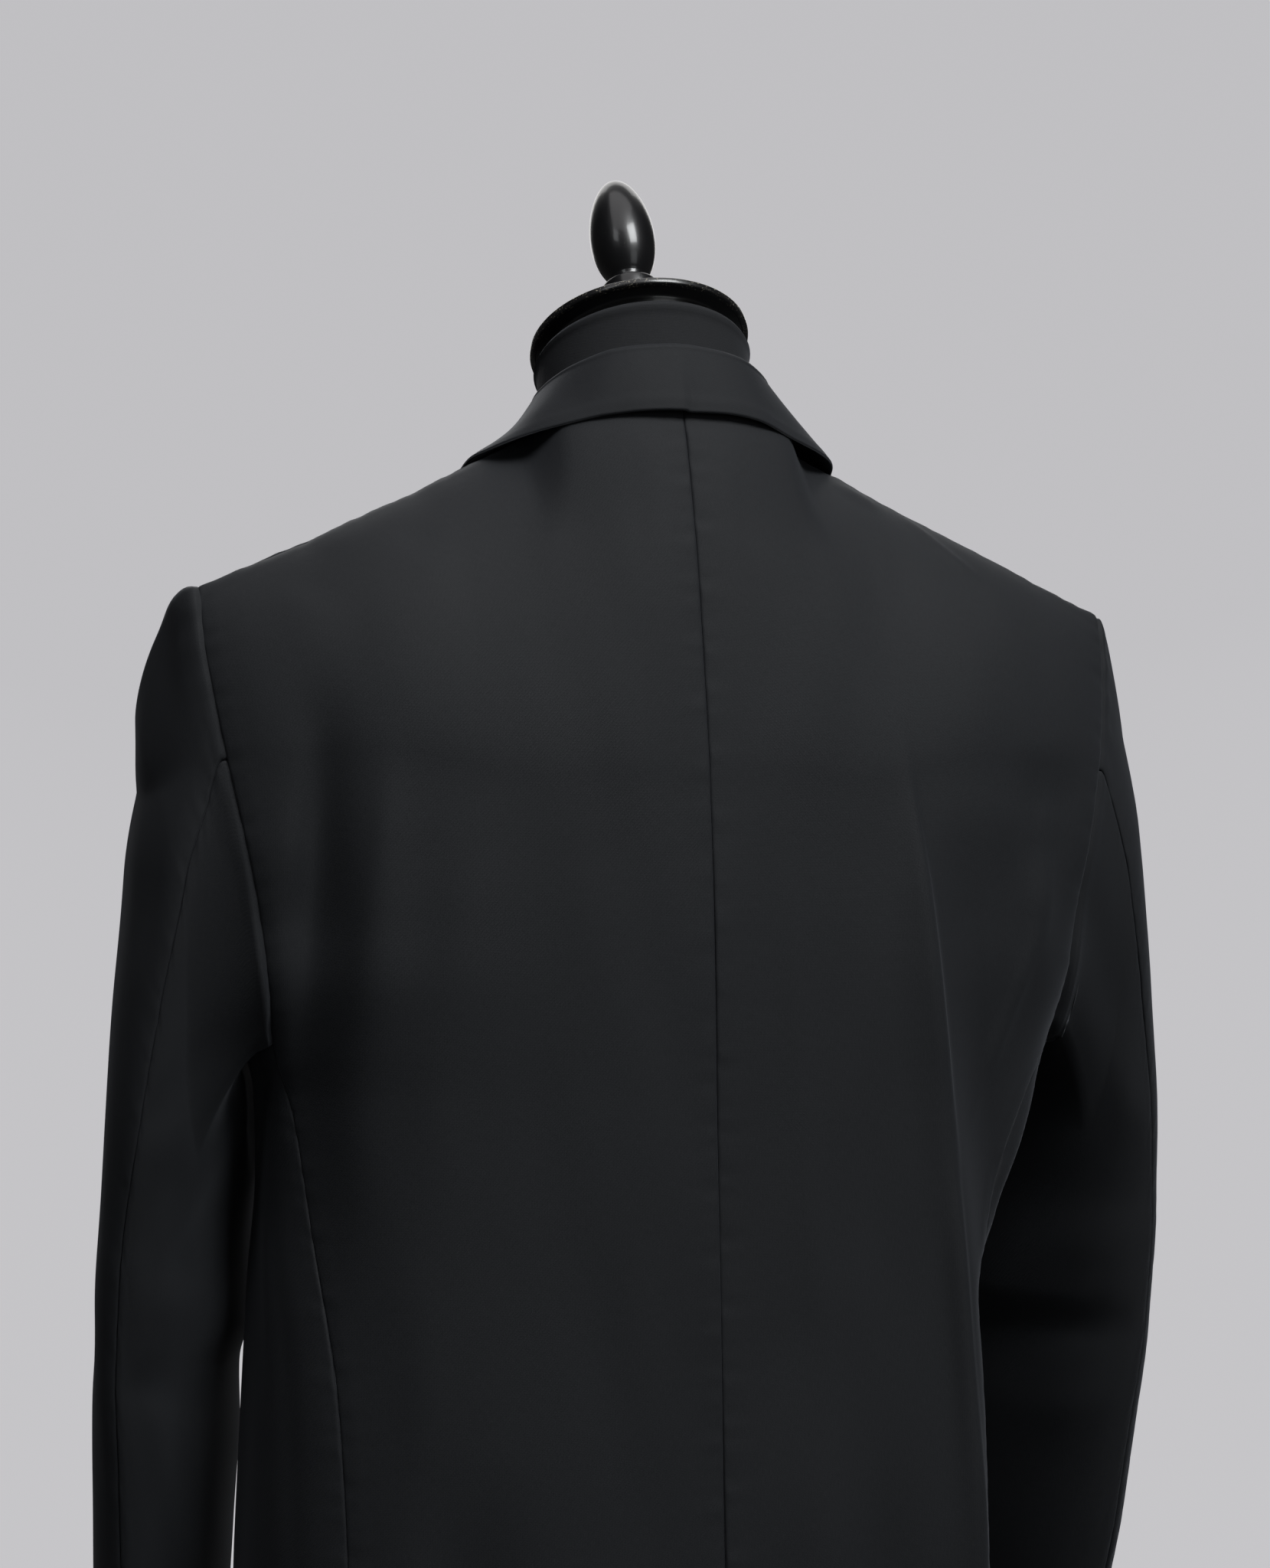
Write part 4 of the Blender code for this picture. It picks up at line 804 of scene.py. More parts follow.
def turned(name: str, profile: Sequence[Pair], steps: int = 96) -> Piece:
    """A piece turned about Z.

    Args:
        name: The piece's name.
        profile: (radius, z) points that start and end on the axis.
        steps: Sides of the round.

    Returns:
        The new object.
    """
    radius, z = (np.array([point[i] for point in profile])[None, :] for i in (0, 1))
    angle = np.arange(steps)[:, None] * 2 * math.pi / steps
    grid = stack(radius * np.cos(angle), radius * np.sin(angle), z + 0 * angle)
    columns = grid.shape[1]
    faces = []
    for i in range(steps):
        for j in range(columns - 1):
            a, b = i * columns + j, (i + 1) % steps * columns + j
            faces.append((a, b, b + 1, a + 1))
    made = new_piece(name, grid.reshape(-1, 3), faces)
    with editing(made) as work:
        bmesh.ops.remove_doubles(work, verts=work.verts, dist=1e-6)
        bmesh.ops.dissolve_degenerate(work, dist=1e-7, edges=work.edges)
        bmesh.ops.recalc_face_normals(work, faces=work.faces)
    smooth_up_to(made, 50)
    return made


def rounded(points: Sequence[Pair], steps: int = 4) -> list[Pair]:
    """A profile with its inner corners cut off again and again, until they are round."""
    line = [np.array(point, float) for point in points]
    for _ in range(steps):
        cut = [line[0]]
        for a, b in zip(line, line[1:]):
            cut += [mix(a, b, 0.25), mix(a, b, 0.75)]
        line = [*cut, line[-1]]
    return [tuple(point) for point in line]


class Tree:
    """Short calls that add linked nodes to a node tree."""

    def __init__(self, tree: Nodes) -> None:
        """Keeps the tree to add to."""
        self.tree = tree

    def add(self, kind: str, inputs: Optional[dict] = None, **settings: object) -> bpy.types.Node:
        """Adds a node.

        Args:
            kind: The node's type name.
            inputs: Values or sockets for its inputs, by name or number.
            settings: Properties of the node.

        Returns:
            The new node.
        """
        node = self.tree.nodes.new(kind)
        for name, value in settings.items():
            setattr(node, name, value)
        self.feed(node, inputs or {})
        return node

    def feed(self, node: bpy.types.Node, inputs: dict) -> None:
        """Links sockets to a node's inputs and sets its other ones, by name or number."""
        for name, value in inputs.items():
            if isinstance(value, Socket):
                self.tree.links.new(value, node.inputs[name])
            else:
                node.inputs[name].default_value = value

    def math(self, operation: str, *values: object, clamp: bool = False) -> Socket:
        """A Math node's result."""
        made = self.add("ShaderNodeMath", dict(enumerate(values)), operation=operation, use_clamp=clamp)
        return made.outputs[0]

    def noise(self, where: Socket, scale: object, detail: float = 2.0) -> Socket:
        """A Noise node's value."""
        inputs = {"Vector": where, "Scale": scale, "Detail": detail}
        return self.add("ShaderNodeTexNoise", inputs).outputs["Fac"]

    def ramp(self, value: Socket, low: float, high: float) -> Socket:
        """0 at low up to 1 at high, eased."""
        inputs = {"Value": value, "From Min": low, "From Max": high}
        made = self.add("ShaderNodeMapRange", inputs, interpolation_type="SMOOTHSTEP", clamp=True)
        return made.outputs["Result"]

    def blend(self, share: object, a: object, b: object) -> Socket:
        """A colour between a and b."""
        return self.add("ShaderNodeMix", {0: share, 6: a, 7: b}, data_type="RGBA").outputs[2]


def new_group(
    name: str, sizes: dict[str, float], outputs: Iterable[str]
) -> tuple[Tree, dict[str, Socket], bpy.types.Node]:
    """An empty shader group that reads a place and some sizes.

    Args:
        name: The group's name.
        sizes: Its value inputs beside Place, with their defaults.
        outputs: Names of its value outputs.

    Returns:
        The tree, its input sockets by name, and its output node.
    """
    tree = bpy.data.node_groups.new(name, "ShaderNodeTree")
    face = tree.interface
    face.new_socket("Place", in_out="INPUT", socket_type="NodeSocketVector")
    for size, default in sizes.items():
        face.new_socket(size, in_out="INPUT", socket_type="NodeSocketFloat").default_value = default
    for value in outputs:
        face.new_socket(value, in_out="OUTPUT", socket_type="NodeSocketFloat")
    maker = Tree(tree)
    source = maker.add("NodeGroupInput")
    return maker, {name: source.outputs[name] for name in ("Place", *sizes)}, maker.add("NodeGroupOutput")


FIBRES_PER_METRE = (2600.0, 240.0, 1.0)
LINT_GRAIN, LINT_RAGGEDNESS, LINT_LEFT_OUT = 1400.0, 1.6, 0.55
EDGE_RANGE, WORN_RANGE, DENT_GRAIN = (0.50, 0.56), (0.72, 0.84), 90.0


def weave_group() -> Nodes:
    """Crossing threads in a twill: their height, and how light each thread is."""
    maker, given, result = new_group("woven_threads", {"Pitch": 0.0005, "Twill": 4.0}, ("Height", "Thread"))
    parts = maker.add("ShaderNodeSeparateXYZ", {"Vector": given["Place"]})
    u = maker.math("DIVIDE", parts.outputs["X"], given["Pitch"])
    v = maker.math("DIVIDE", parts.outputs["Y"], given["Pitch"])
    warp = maker.math("ABSOLUTE", maker.math("SINE", maker.math("MULTIPLY", u, math.pi)))
    weft = maker.math("ABSOLUTE", maker.math("SINE", maker.math("MULTIPLY", v, math.pi)))
    step = maker.math("ADD", maker.math("FLOOR", u), maker.math("FLOOR", v))
    turn = maker.math("FRACT", maker.math("DIVIDE", step, given["Twill"]))
    over = maker.math("LESS_THAN", turn, 0.5)
    under = maker.math("SUBTRACT", 1.0, over)
    height = maker.math("ADD", maker.math("MULTIPLY", warp, over), maker.math("MULTIPLY", weft, under))
    stretched = maker.add("ShaderNodeMapping", {"Vector": given["Place"], "Scale": FIBRES_PER_METRE})
    fibre = maker.noise(stretched.outputs["Vector"], 1.0, 2.0)
    maker.feed(result, {"Height": height, "Thread": fibre})
    return maker.tree


def lint_group() -> Nodes:
    """Sparse specks of lint: 1 on a speck and 0 beside it."""
    maker, given, result = new_group("lint_specks", {"Spacing": 0.05, "Size": 0.0004}, ("Mask",))
    scale = maker.math("DIVIDE", 1.0, given["Spacing"])
    cells = maker.add("ShaderNodeTexVoronoi", {"Vector": given["Place"], "Scale": scale})
    ragged = maker.math("MULTIPLY", maker.noise(given["Place"], LINT_GRAIN), LINT_RAGGEDNESS)
    reach = maker.math("MULTIPLY", maker.math("MULTIPLY", given["Size"], scale), ragged)
    near = maker.math("LESS_THAN", cells.outputs["Distance"], reach)
    chosen = maker.add("ShaderNodeSeparateColor", {"Color": cells.outputs["Color"]})
    kept = maker.math("GREATER_THAN", chosen.outputs["Red"], LINT_LEFT_OUT)
    maker.feed(result, {"Mask": maker.math("MULTIPLY", near, kept)})
    return maker.tree


def wear_group() -> Nodes:
    """Rubbed-through patches on edges that stick out, and fine dents."""
    maker, given, result = new_group(
        "rubbed_edges", {"Reach": 0.5, "Grain": 300.0, "Rim": 0.0}, ("Mask", "Height")
    )
    point = maker.add("ShaderNodeNewGeometry").outputs["Pointiness"]
    edge = maker.math("MAXIMUM", maker.ramp(point, *EDGE_RANGE), given["Rim"])
    flecks = maker.noise(given["Place"], given["Grain"], 4.0)
    rubbed = maker.math("ADD", flecks, maker.math("MULTIPLY", given["Reach"], edge))
    dents = maker.noise(given["Place"], DENT_GRAIN, 3.0)
    maker.feed(result, {"Mask": maker.ramp(rubbed, *WORN_RANGE), "Height": dents})
    return maker.tree


class Groups:
    """The shader groups that several finishes share, each built once."""

    def __init__(self) -> None:
        """Builds the groups."""
        self.weave, self.lint, self.wear = weave_group(), lint_group(), wear_group()

    def place(self, maker: Tree, group: Nodes, **values: object) -> bpy.types.Node:
        """A copy of a group in a material, with its own values."""
        return maker.add("ShaderNodeGroup", values, node_tree=group)


def new_material(name: str) -> tuple[Material, Tree, bpy.types.Node]:
    """A material, its tree and its Principled shader."""
    made = bpy.data.materials.new(name)
    made.use_nodes = True
    return made, Tree(made.node_tree), made.node_tree.nodes["Principled BSDF"]


@dataclass(frozen=True)
class ClothFinish:
    """A dark woven cloth."""

    name: str
    dark: Triple
    light: Triple
    pitch: float = 0.00055
    twill: float = 4.0
    weave_depth: float = 0.00006
    roughness: float = 0.66
    sheen: float = 0.12
    specular: float = 0.22
    lint_spacing: float = 0.045
    lint_tone: Triple = (0.30, 0.30, 0.31)
    lint_cover: float = 0.75
    thread_share: float = 0.75
    patch_share: float = 0.45
    # Painted shade: how much of the cloth's lightness the weave's hollows keep
    hollow_shade: float = 0.7
    slub_depth: float = 0.00012
    sheen_tint: Triple = (0.86, 0.90, 1.0)

    def build(self, groups: Groups) -> Material:
        """The material.

        Args:
            groups: The shared shader groups.

        Returns:
            The new material.
        """
        made, maker, shader = new_material(self.name)
        where = maker.add("ShaderNodeTexCoord")
        place = where.outputs["Object"]
        weave = groups.place(
            maker, groups.weave, Place=where.outputs["UV"], Pitch=self.pitch, Twill=self.twill
        )
        lint = groups.place(maker, groups.lint, Place=place, Spacing=self.lint_spacing)
        broad = maker.noise(place, 9.0, 3.0)
        threads = maker.math("MULTIPLY", weave.outputs["Thread"], self.thread_share)
        share = maker.math("ADD", threads, maker.math("MULTIPLY", broad, self.patch_share))
        # Painted shade: the colour is darkened in the weave's hollows and kept lighter on the raised threads
        raised = maker.math("MULTIPLY", weave.outputs["Height"], 0.3)
        share = maker.math("MULTIPLY", share, maker.math("ADD", self.hollow_shade, raised))
        colour = maker.blend(share, (*self.dark, 1.0), (*self.light, 1.0))
        covered = maker.math("MULTIPLY", lint.outputs["Mask"], self.lint_cover)
        colour = maker.blend(covered, colour, (*self.lint_tone, 1.0))
        bump = maker.add(
            "ShaderNodeBump",
            {"Height": weave.outputs["Height"], "Distance": self.weave_depth, "Strength": 0.6},
        )
        slub = maker.add(
            "ShaderNodeBump",
            {
                "Height": maker.noise(place, 420.0, 2.0),
                "Distance": self.slub_depth,
                "Strength": 0.35,
                "Normal": bump.outputs["Normal"],
            },
        )
        rough = maker.math("MULTIPLY", maker.ramp(broad, -0.4, 1.6), 0.12)
        maker.feed(
            shader,
            {
                "Base Color": colour,
                "Roughness": maker.math("ADD", self.roughness - 0.05, rough),
                "Normal": slub.outputs["Normal"],
                "Specular IOR Level": self.specular,
                "Sheen Weight": self.sheen,
                "Sheen Roughness": 0.42,
                "Sheen Tint": (*self.sheen_tint, 1.0),
            },
        )
        return made


@dataclass(frozen=True)
class HardFinish:
    """A black lacquer, paint or horn that can be rubbed through."""

    name: str
    colour: Triple
    under: Triple
    roughness: float
    reach: float = 0.30
    grain: float = 420.0
    dents: float = 0.00010
    metal: float = 0.0
    coat: float = 0.0

    def build(self, groups: Groups) -> Material:
        """The material.

        Args:
            groups: The shared shader groups.

        Returns:
            The new material.
        """
        made, maker, shader = new_material(self.name)
        where = maker.add("ShaderNodeTexCoord").outputs["Object"]
        rim = maker.add("ShaderNodeAttribute", attribute_name="rim").outputs["Fac"]
        wear = groups.place(maker, groups.wear, Place=where, Reach=self.reach, Grain=self.grain, Rim=rim)
        worn = wear.outputs["Mask"]
        colour = maker.blend(worn, (*self.colour, 1.0), (*self.under, 1.0))
        smear = maker.noise(where, 35.0, 4.0)
        rough = maker.math("ADD", self.roughness - 0.04, maker.math("MULTIPLY", smear, 0.12))
        rough = maker.math("ADD", rough, maker.math("MULTIPLY", worn, 0.15))
        bump = maker.add("ShaderNodeBump", {"Height": wear.outputs["Height"], "Distance": self.dents})
        maker.feed(
            shader,
            {
                "Base Color": colour,
                "Roughness": rough,
                "Normal": bump.outputs["Normal"],
                "Coat Weight": self.coat,
                "Coat Roughness": 0.12,
            },
        )
        if self.metal:
            maker.feed(shader, {"Metallic": maker.math("MULTIPLY", worn, self.metal)})
        return made


@dataclass
class Finishes:
    """Every finish, each built once."""

    groups: Groups = field(default_factory=Groups)

    def __post_init__(self) -> None:
        """Builds the materials."""
        self.suiting = ClothFinish(
            "wool_suiting", (0.0085, 0.0092, 0.0108), (0.0240, 0.0256, 0.0290)
        ).build(self.groups)
        self.jersey = ClothFinish(
            "form_jersey", (0.0118, 0.0124, 0.0137), (0.0300, 0.0312, 0.0345),
            pitch=0.0008, twill=2.0, roughness=0.72, sheen=0.10, lint_spacing=0.08,
        ).build(self.groups)
        self.lacquer = HardFinish(
            "black_lacquer", (0.0060, 0.0060, 0.0068), (0.36, 0.33, 0.26), 0.30, 0.20, 900.0,
            metal=0.15, coat=0.50,
        ).build(self.groups)
        self.horn = HardFinish(
            "dark_horn", (0.0075, 0.0068, 0.0062), (0.030, 0.024, 0.018), 0.30, 0.10, 160.0, 0.00003
        ).build(self.groups)
        self.paint = HardFinish(
            "black_paint", (0.0080, 0.0080, 0.0085), (0.20, 0.20, 0.20), 0.42, 0.16, 380.0, metal=0.7
        ).build(self.groups)
        self.thread = HardFinish(
            "black_thread", (0.010, 0.010, 0.012), (0.020, 0.020, 0.024), 0.70, 0.10, 900.0, 0.00004
        ).build(self.groups)


def area_of(grid: Array) -> float:
    """The area of a grid's surface."""
    a, b, c, d = grid[:-1, :-1], grid[:-1, 1:], grid[1:, 1:], grid[1:, :-1]
    halves = np.linalg.norm(np.cross(b - a, d - a), axis=2) + np.linalg.norm(np.cross(b - c, d - c), axis=2)
    return float(halves.sum() / 2)


def dress(
    piece: Piece, node: Optional[str], material: Material
) -> Piece:
    """Gives a piece its finish and its body, and hides the CAD part that it stands for.

    Args:
        piece: The piece.
        node: The CAD node that it stands for, or none.
        material: Its finish.

    Returns:
        The same piece.
    """
    piece.data.materials.clear()
    piece.data.materials.append(material)
    if node:
        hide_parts(node)
    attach(piece, "root")
    LOG.info("%s: %d faces", piece.name, len(piece.data.polygons))
    return piece


def dress_cloth(
    wall: Wall, node: str, material: Material
) -> Piece:
    """Builds a cut piece and dresses it.

    Args:
        wall: The piece.
        node: The CAD node that it stands for.
        material: Its finish.

    Returns:
        The new object.
    """
    piece = dress(wall.build(), node, material)
    width = float(distances(wall.grid, 1)[:, -1].max())
    length = float(distances(wall.grid, 0)[-1].max())
    area = min(area_of(wall.grid), width * length)
    return piece


def dress_on_front(hand: Hand, part: str, grid: Array, seed: int, finishes: Finishes) -> None:
    """Builds a piece with folded edges that lies on a side's front."""
    name = f"{part}_{hand.word}"
    out = np.broadcast_to((0, -1, 0), grid.shape)
    wall = Wall(f"{name}_piece", grid, out, edge_styles(folds=ALL_EDGES), None, seed=seed)
    dress_cloth(wall, name, finishes.suiting)


SEAM_ENDS = (0.004, 0.013, 0.030, 0.060)
SIDE_ENDS = (0.003, 0.010, 0.024, 0.046)
ROW_ENDS = (0.004, 0.012, 0.026, 0.050)
NEAR_SEAM = (0.12, 0.22, 0.34, 0.5, 0.7)


@dataclass
class Body:
    """The back, side and front panels of one side."""

    hand: Hand
    rows_per: int = 10
    columns_per: dict = field(default_factory=lambda: {"back": 8, "side": 12, "front": 10})
    unevenness: Unevenness = Unevenness()
    calm_z: float = 0.900
    calm_fade: float = 0.10
    side_start: float = 0.19
    side_seam: float = 0.03

    def relief(self, part: str, grid: Array, seed: int) -> Array:
        """The creases of a panel and its low waves."""
        x, z = np.abs(grid[..., 0]), grid[..., 2]
        if part.startswith("side"):
            x = np.abs(distances(grid, 1) - self.side_seam) + self.side_start
        total = sum(crease.relief(x, z) for crease in CREASES.get(part, ()))
        calm = ease((self.calm_z - z) / self.calm_fade)
        return total + self.unevenness.relief(distances(grid, 1), distances(grid, 0), seed) * calm

    def panels(self) -> list[Wall]:
        """The three panels."""
        rows = spread((0.0, TOP), self.rows_per, ROW_ENDS)
        rows = np.array(sorted({*rows.tolist(), *(TOP - d for d in NEAR_SEAM)}))
        low_rows = spread((0.0, LOWER), self.rows_per, ROW_ENDS)
        sewn = edge_styles(("first", "last", "top"), ("bottom",))
        open_in_front = edge_styles(("first", "top"), ("last", "bottom"))
        first_seed = 1 if self.hand is Hand.LEFT else 5
        walls = []
        parts = (
            ("back", back_surface, rows, 10.0, SEAM_ENDS, sewn),
            ("side", side_surface, low_rows, 4.0, SIDE_ENDS, sewn),
            ("front", front_surface, rows, 7.0, SEAM_ENDS, open_in_front),
        )
        for seed, (part, surface, row, last, ends, edges) in enumerate(parts, first_seed):
            column = spread((0.0, last), self.columns_per[part], ends)
            grid = surface(self.hand)(row[:, None], column[None])
            name = f"{part}_{self.hand.word}"
            relief = self.relief(name, grid, seed)
            walls.append(Wall(name, grid, grid * (1, 1, 0), edges, relief, seed=seed))
        return walls

    def build(self, finishes: Finishes) -> None:
        """Builds the panels."""
        for wall in self.panels():
            node = wall.name
            wall.name = f"{node}_panel"
            dress_cloth(wall, node, finishes.suiting)


@dataclass
class Sleeve:
    """A two-piece sleeve, set into the armhole of its side."""

    hand: Hand
    rows_per: int = 11
    turns_per: int = 4
    round_length: float = 0.33
    head_height: float = 0.060
    low_height: float = 0.030
    spacing: float = 1.35
    clearance: float = 0.0042
    tuck: float = 0.0013
    leave_by: Pair = (0.0030, 0.0020)
    under_turns: Pair = (205, 350)
    under_fade: float = 30
    low_turns: Pair = (272, 26)
    puff_turns: Pair = (92, 48)
    puff_down: Pair = (0.012, 0.012)
    ripple: float = 0.00030
    ripple_length: float = 0.016
    ripple_down: Pair = (0.008, 0.008)
    ripple_end_turn: float = 200
    calm_down: float = 0.04
    puff: dict = by_hand(0.0030, -0.0010)
    sections: Table = Table(
        ("z", "LEFT", "RIGHT", "y", "half_depth", "half_thickness", "turn"),
        (
            (0.185, 0.2505, 0.2505, -0.1010, 0.0700, 0.0270, 22.0),
            (0.300, 0.2515, 0.2515, -0.0776, 0.0815, 0.0299, 24.4),
            (0.350, 0.2520, 0.2520, -0.0658, 0.0818, 0.0300, 26.0),
            (0.395, 0.2538, 0.2538, -0.0556, 0.0810, 0.0284, 27.3),
            (0.422, 0.2499, 0.2499, -0.0518, 0.0838, 0.0312, 29.4),
            (0.470, 0.2485, 0.2485, -0.0476, 0.0874, 0.0307, 28.2),
            (0.530, 0.2473, 0.2473, -0.0378, 0.0868, 0.0340, 24.6),
            (0.596, 0.2466, 0.2466, -0.0328, 0.0862, 0.0364, 18.3),
            (0.660, 0.2470, 0.2480, -0.0230, 0.0795, 0.0350, 11.0),
            (0.720, 0.2400, 0.2460, -0.0160, 0.0720, 0.0335, 7.0),
            (0.770, 0.2250, 0.2410, -0.0060, 0.0620, 0.0305, 4.0),
            (0.806, 0.2205, 0.2350, 0.0020, 0.0520, 0.0280, 0.0),
        ),
    )
    folds: Table = Table(
        ("side", "z", "turn", "half_height", "half_turn", "slant", "height"),
        (
            (1, 0.440, 320, 0.016, 38, 0.00020, 0.0040),
            (1, 0.398, 330, 0.013, 34, 0.00015, -0.0040),
            (1, 0.505, 340, 0.018, 30, 0.00030, -0.0030),
            (1, 0.420, 60, 0.020, 40, 0.00010, -0.0025),
            (-1, 0.455, 335, 0.018, 36, 0.00020, 0.0035),
            (-1, 0.405, 325, 0.014, 34, 0.00015, -0.0035),
            (-1, 0.360, 330, 0.016, 30, 0.00030, 0.0025),
            (-1, 0.430, 55, 0.020, 40, 0.00010, -0.0025),
        ),
    )
    stations: Table = Table(
        ("place", "turn"), ((0, 0), (6, 82), (14, 200), (17, 236), (21, 314), (26, 360))
    )

    def armhole(self, place: Array) -> tuple[Array, Array, Array]:
        """The armhole's points, with the cloth's normals and the ways out of the cloth.

        Args:
            place: Places round the armhole, from the elbow seam over the shoulder, 0 to 26.

        Returns:
            Points, unit normals and unit directions, for the left side.
        """
        back, side, front = (make(self.hand) for make in (back_surface, side_surface, front_surface))
        parts = []
        bounds = ((0, 6), (6, 17), (17, 21), (21, 26.0001))
        for number, (low, high) in enumerate(bounds):
            p = place[(place >= low) & (place < high)]
            if number == 0:
                row, column, surface, inward = 18 + p, 10.0 + 0 * p, back, (0, -0.6)
            elif number == 1:
                row, column, surface, inward = 30 - p, 0 * p, front, (0, 0.6)
            elif number == 2:
                row, column, surface, inward = LOWER + 0 * p, 4 - (p - 17), side, (-0.5, 0)
            else:
                row, column, surface, inward = p - 8, 10.0 + 0 * p, back, (0, -0.6)
            points = surface(row, column)
            inner = surface(row + inward[0], column + inward[1])
            d = 0.05
            if number == 2:
                one = surface(row, np.minimum(column + d, 4)) - surface(row, np.maximum(column - d, 0))
                two = surface(row, column) - surface(row - d, column)
            else:
                one = surface(np.minimum(row + d, TOP), column) - surface(row - d, column)
                two = points - surface(row, column + inward[1] * d)
            normal = unit(np.cross(one, two))
            flat = points * (1, 1, 0)
            normal *= np.where(np.sum(normal * flat, axis=1) < 0, -1, 1)[:, None]
            parts.append((points, normal, unit(points - inner)))
        points, normals, outwards = (np.concatenate([part[i] for part in parts]) for i in range(3))
        flip = (self.hand.value, 1, 1)
        return points * flip, normals * flip, outwards * flip

    def turns(self, place: Array) -> Array:
        """Turns round the sleeve's section, in degrees, at places round the armhole."""
        fine = np.linspace(0, 26, 521)
        points = self.armhole(fine)[0]
        length = np.concatenate(([0], np.cumsum(np.linalg.norm(np.diff(points, axis=0), axis=1))))
        knots = np.interp(self.stations.column("place"), fine, length)
        return smooth(knots, self.stations.column("turn"), np.interp(place, fine, length))

    def ring(self, turn: Array, z: Array) -> tuple[Array, Array]:
        """(x, y) of the sleeve's level section."""
        cos, sin = np.cos(np.radians(turn)), np.sin(np.radians(turn))
        deep = self.sections.at("half_depth", z) * cos
        thick = self.sections.at("half_thickness", z) * sin
        for row in self.folds.rows:
            fold = dict(zip(self.folds.columns, row))
            if fold["side"] != self.hand.value:
                continue
            away = (turn - fold["turn"] + 180) % 360 - 180
            line = fold["z"] + fold["slant"] * away
            bump = np.exp(-(((z - line) / fold["half_height"]) ** 2) - (away / fold["half_turn"]) ** 2)
            thick = thick + fold["height"] * bump * sin
        lean = np.radians(self.sections.at("turn", z))
        x = self.sections.at(self.hand.name, z) + deep * np.sin(lean) + thick * np.cos(lean)
        y = self.sections.at("y", z) + deep * np.cos(lean) - thick * np.sin(lean)
        width = FORM.sections.at("half_width", z) + self.clearance
        depth = np.where(y > 0, FORM.sections.at("back", z), FORM.sections.at("front", z)) + self.clearance
        faces = (FORM.sections.at(f"{face}_squareness", z) for face in ("back", "front"))
        power = np.where(y > 0, *faces)
        return np.maximum(x, width * quarter(np.minimum(np.abs(y) / depth, 1), power)), y

    def grid(self, place: Array, row: Array) -> Array:
        """The sleeve's points: rows from the armhole down, columns round it."""
        points, normals, outwards = self.armhole(place)
        turns = self.turns(place)
        first, last = self.under_turns
        under = ease((turns - first) / self.under_fade) * ease((last - turns) / self.under_fade)
        away = unit(mix(outwards, normals, under[:, None]))
        start = points - away * self.tuck - normals * self.tuck
        leave = points + away * (self.leave_by[0] + self.leave_by[1] * under)[:, None]
        top = leave[:, 2]
        height = mix(self.head_height, self.low_height, bell(turns, *self.low_turns))
        made = []
        for q in row:
            if q <= 1:
                made.append(mix(start, leave, q))
                continue
            z = mix(top, FORM.cuff_z, ((q - 1) / 16) ** self.spacing)
            x, y = self.ring(turns, z)
            rise = arch((top - z) / height, 1.6)
            made.append(stack(mix(leave[:, 0], x, rise), mix(leave[:, 1], y, rise), z))
        return np.array(made) * (self.hand.value, 1, 1)

    def relief(self, grid: Array, place: Array, seed: int) -> Array:
        """The sleeve's creases, the puff of its head and its ease."""
        turns = self.turns(place)[None]
        around, down = turns / 360 * self.round_length, distances(grid, 0)
        total = sum(crease.relief(around, grid[..., 2]) for crease in CREASES[f"sleeve_{self.hand.word}"])
        head = bell(turns, *self.puff_turns) * bell(down, *self.puff_down)
        total = total + self.puff[self.hand] * head
        ripple = np.sin(around * 2 * math.pi / self.ripple_length)
        near = bell(down, *self.ripple_down) * (turns < self.ripple_end_turn)
        total = total + self.ripple * ripple * near
        waves = Unevenness(height=0.00030).relief(around, down, seed)
        return total + waves * ease(down / self.calm_down)

    def build(self, finishes: Finishes) -> None:
        """Builds the top and under sleeves."""
        ends = (0.010, 0.030, 0.065, 0.130)
        extra = [0.25, 0.5, 0.75, 1.0, 1.06, 1.14, 1.24, 1.36, 1.5]
        row = np.array(sorted({*spread((0.0, 17.0), self.rows_per, (0.002, 0.007, 0.015, 0.030)), *extra}))
        row = row[(row < 0.004) | (row > 0.02)]
        seed = 20 if self.hand is Hand.LEFT else 30
        for number, (part, low, high) in enumerate((("top", 0.0, 14.0), ("under", 14.0, 26.0))):
            place = spread((low, high), self.turns_per, ends)
            grid = self.grid(place, row)
            centre = self.grid(np.linspace(0, 26, 27)[:-1], row).mean(axis=1, keepdims=True)
            name = f"sleeve_{self.hand.word}_{part}"
            wall = Wall(
                f"{name}_piece", grid, (grid - centre) * (1, 1, 0),
                edge_styles(("first", "last", "bottom"), ("top",)),
                self.relief(grid, place, seed), seed=seed + number,
            )
            wall.pucker = 0.00015
            dress_cloth(wall, name, finishes.suiting)


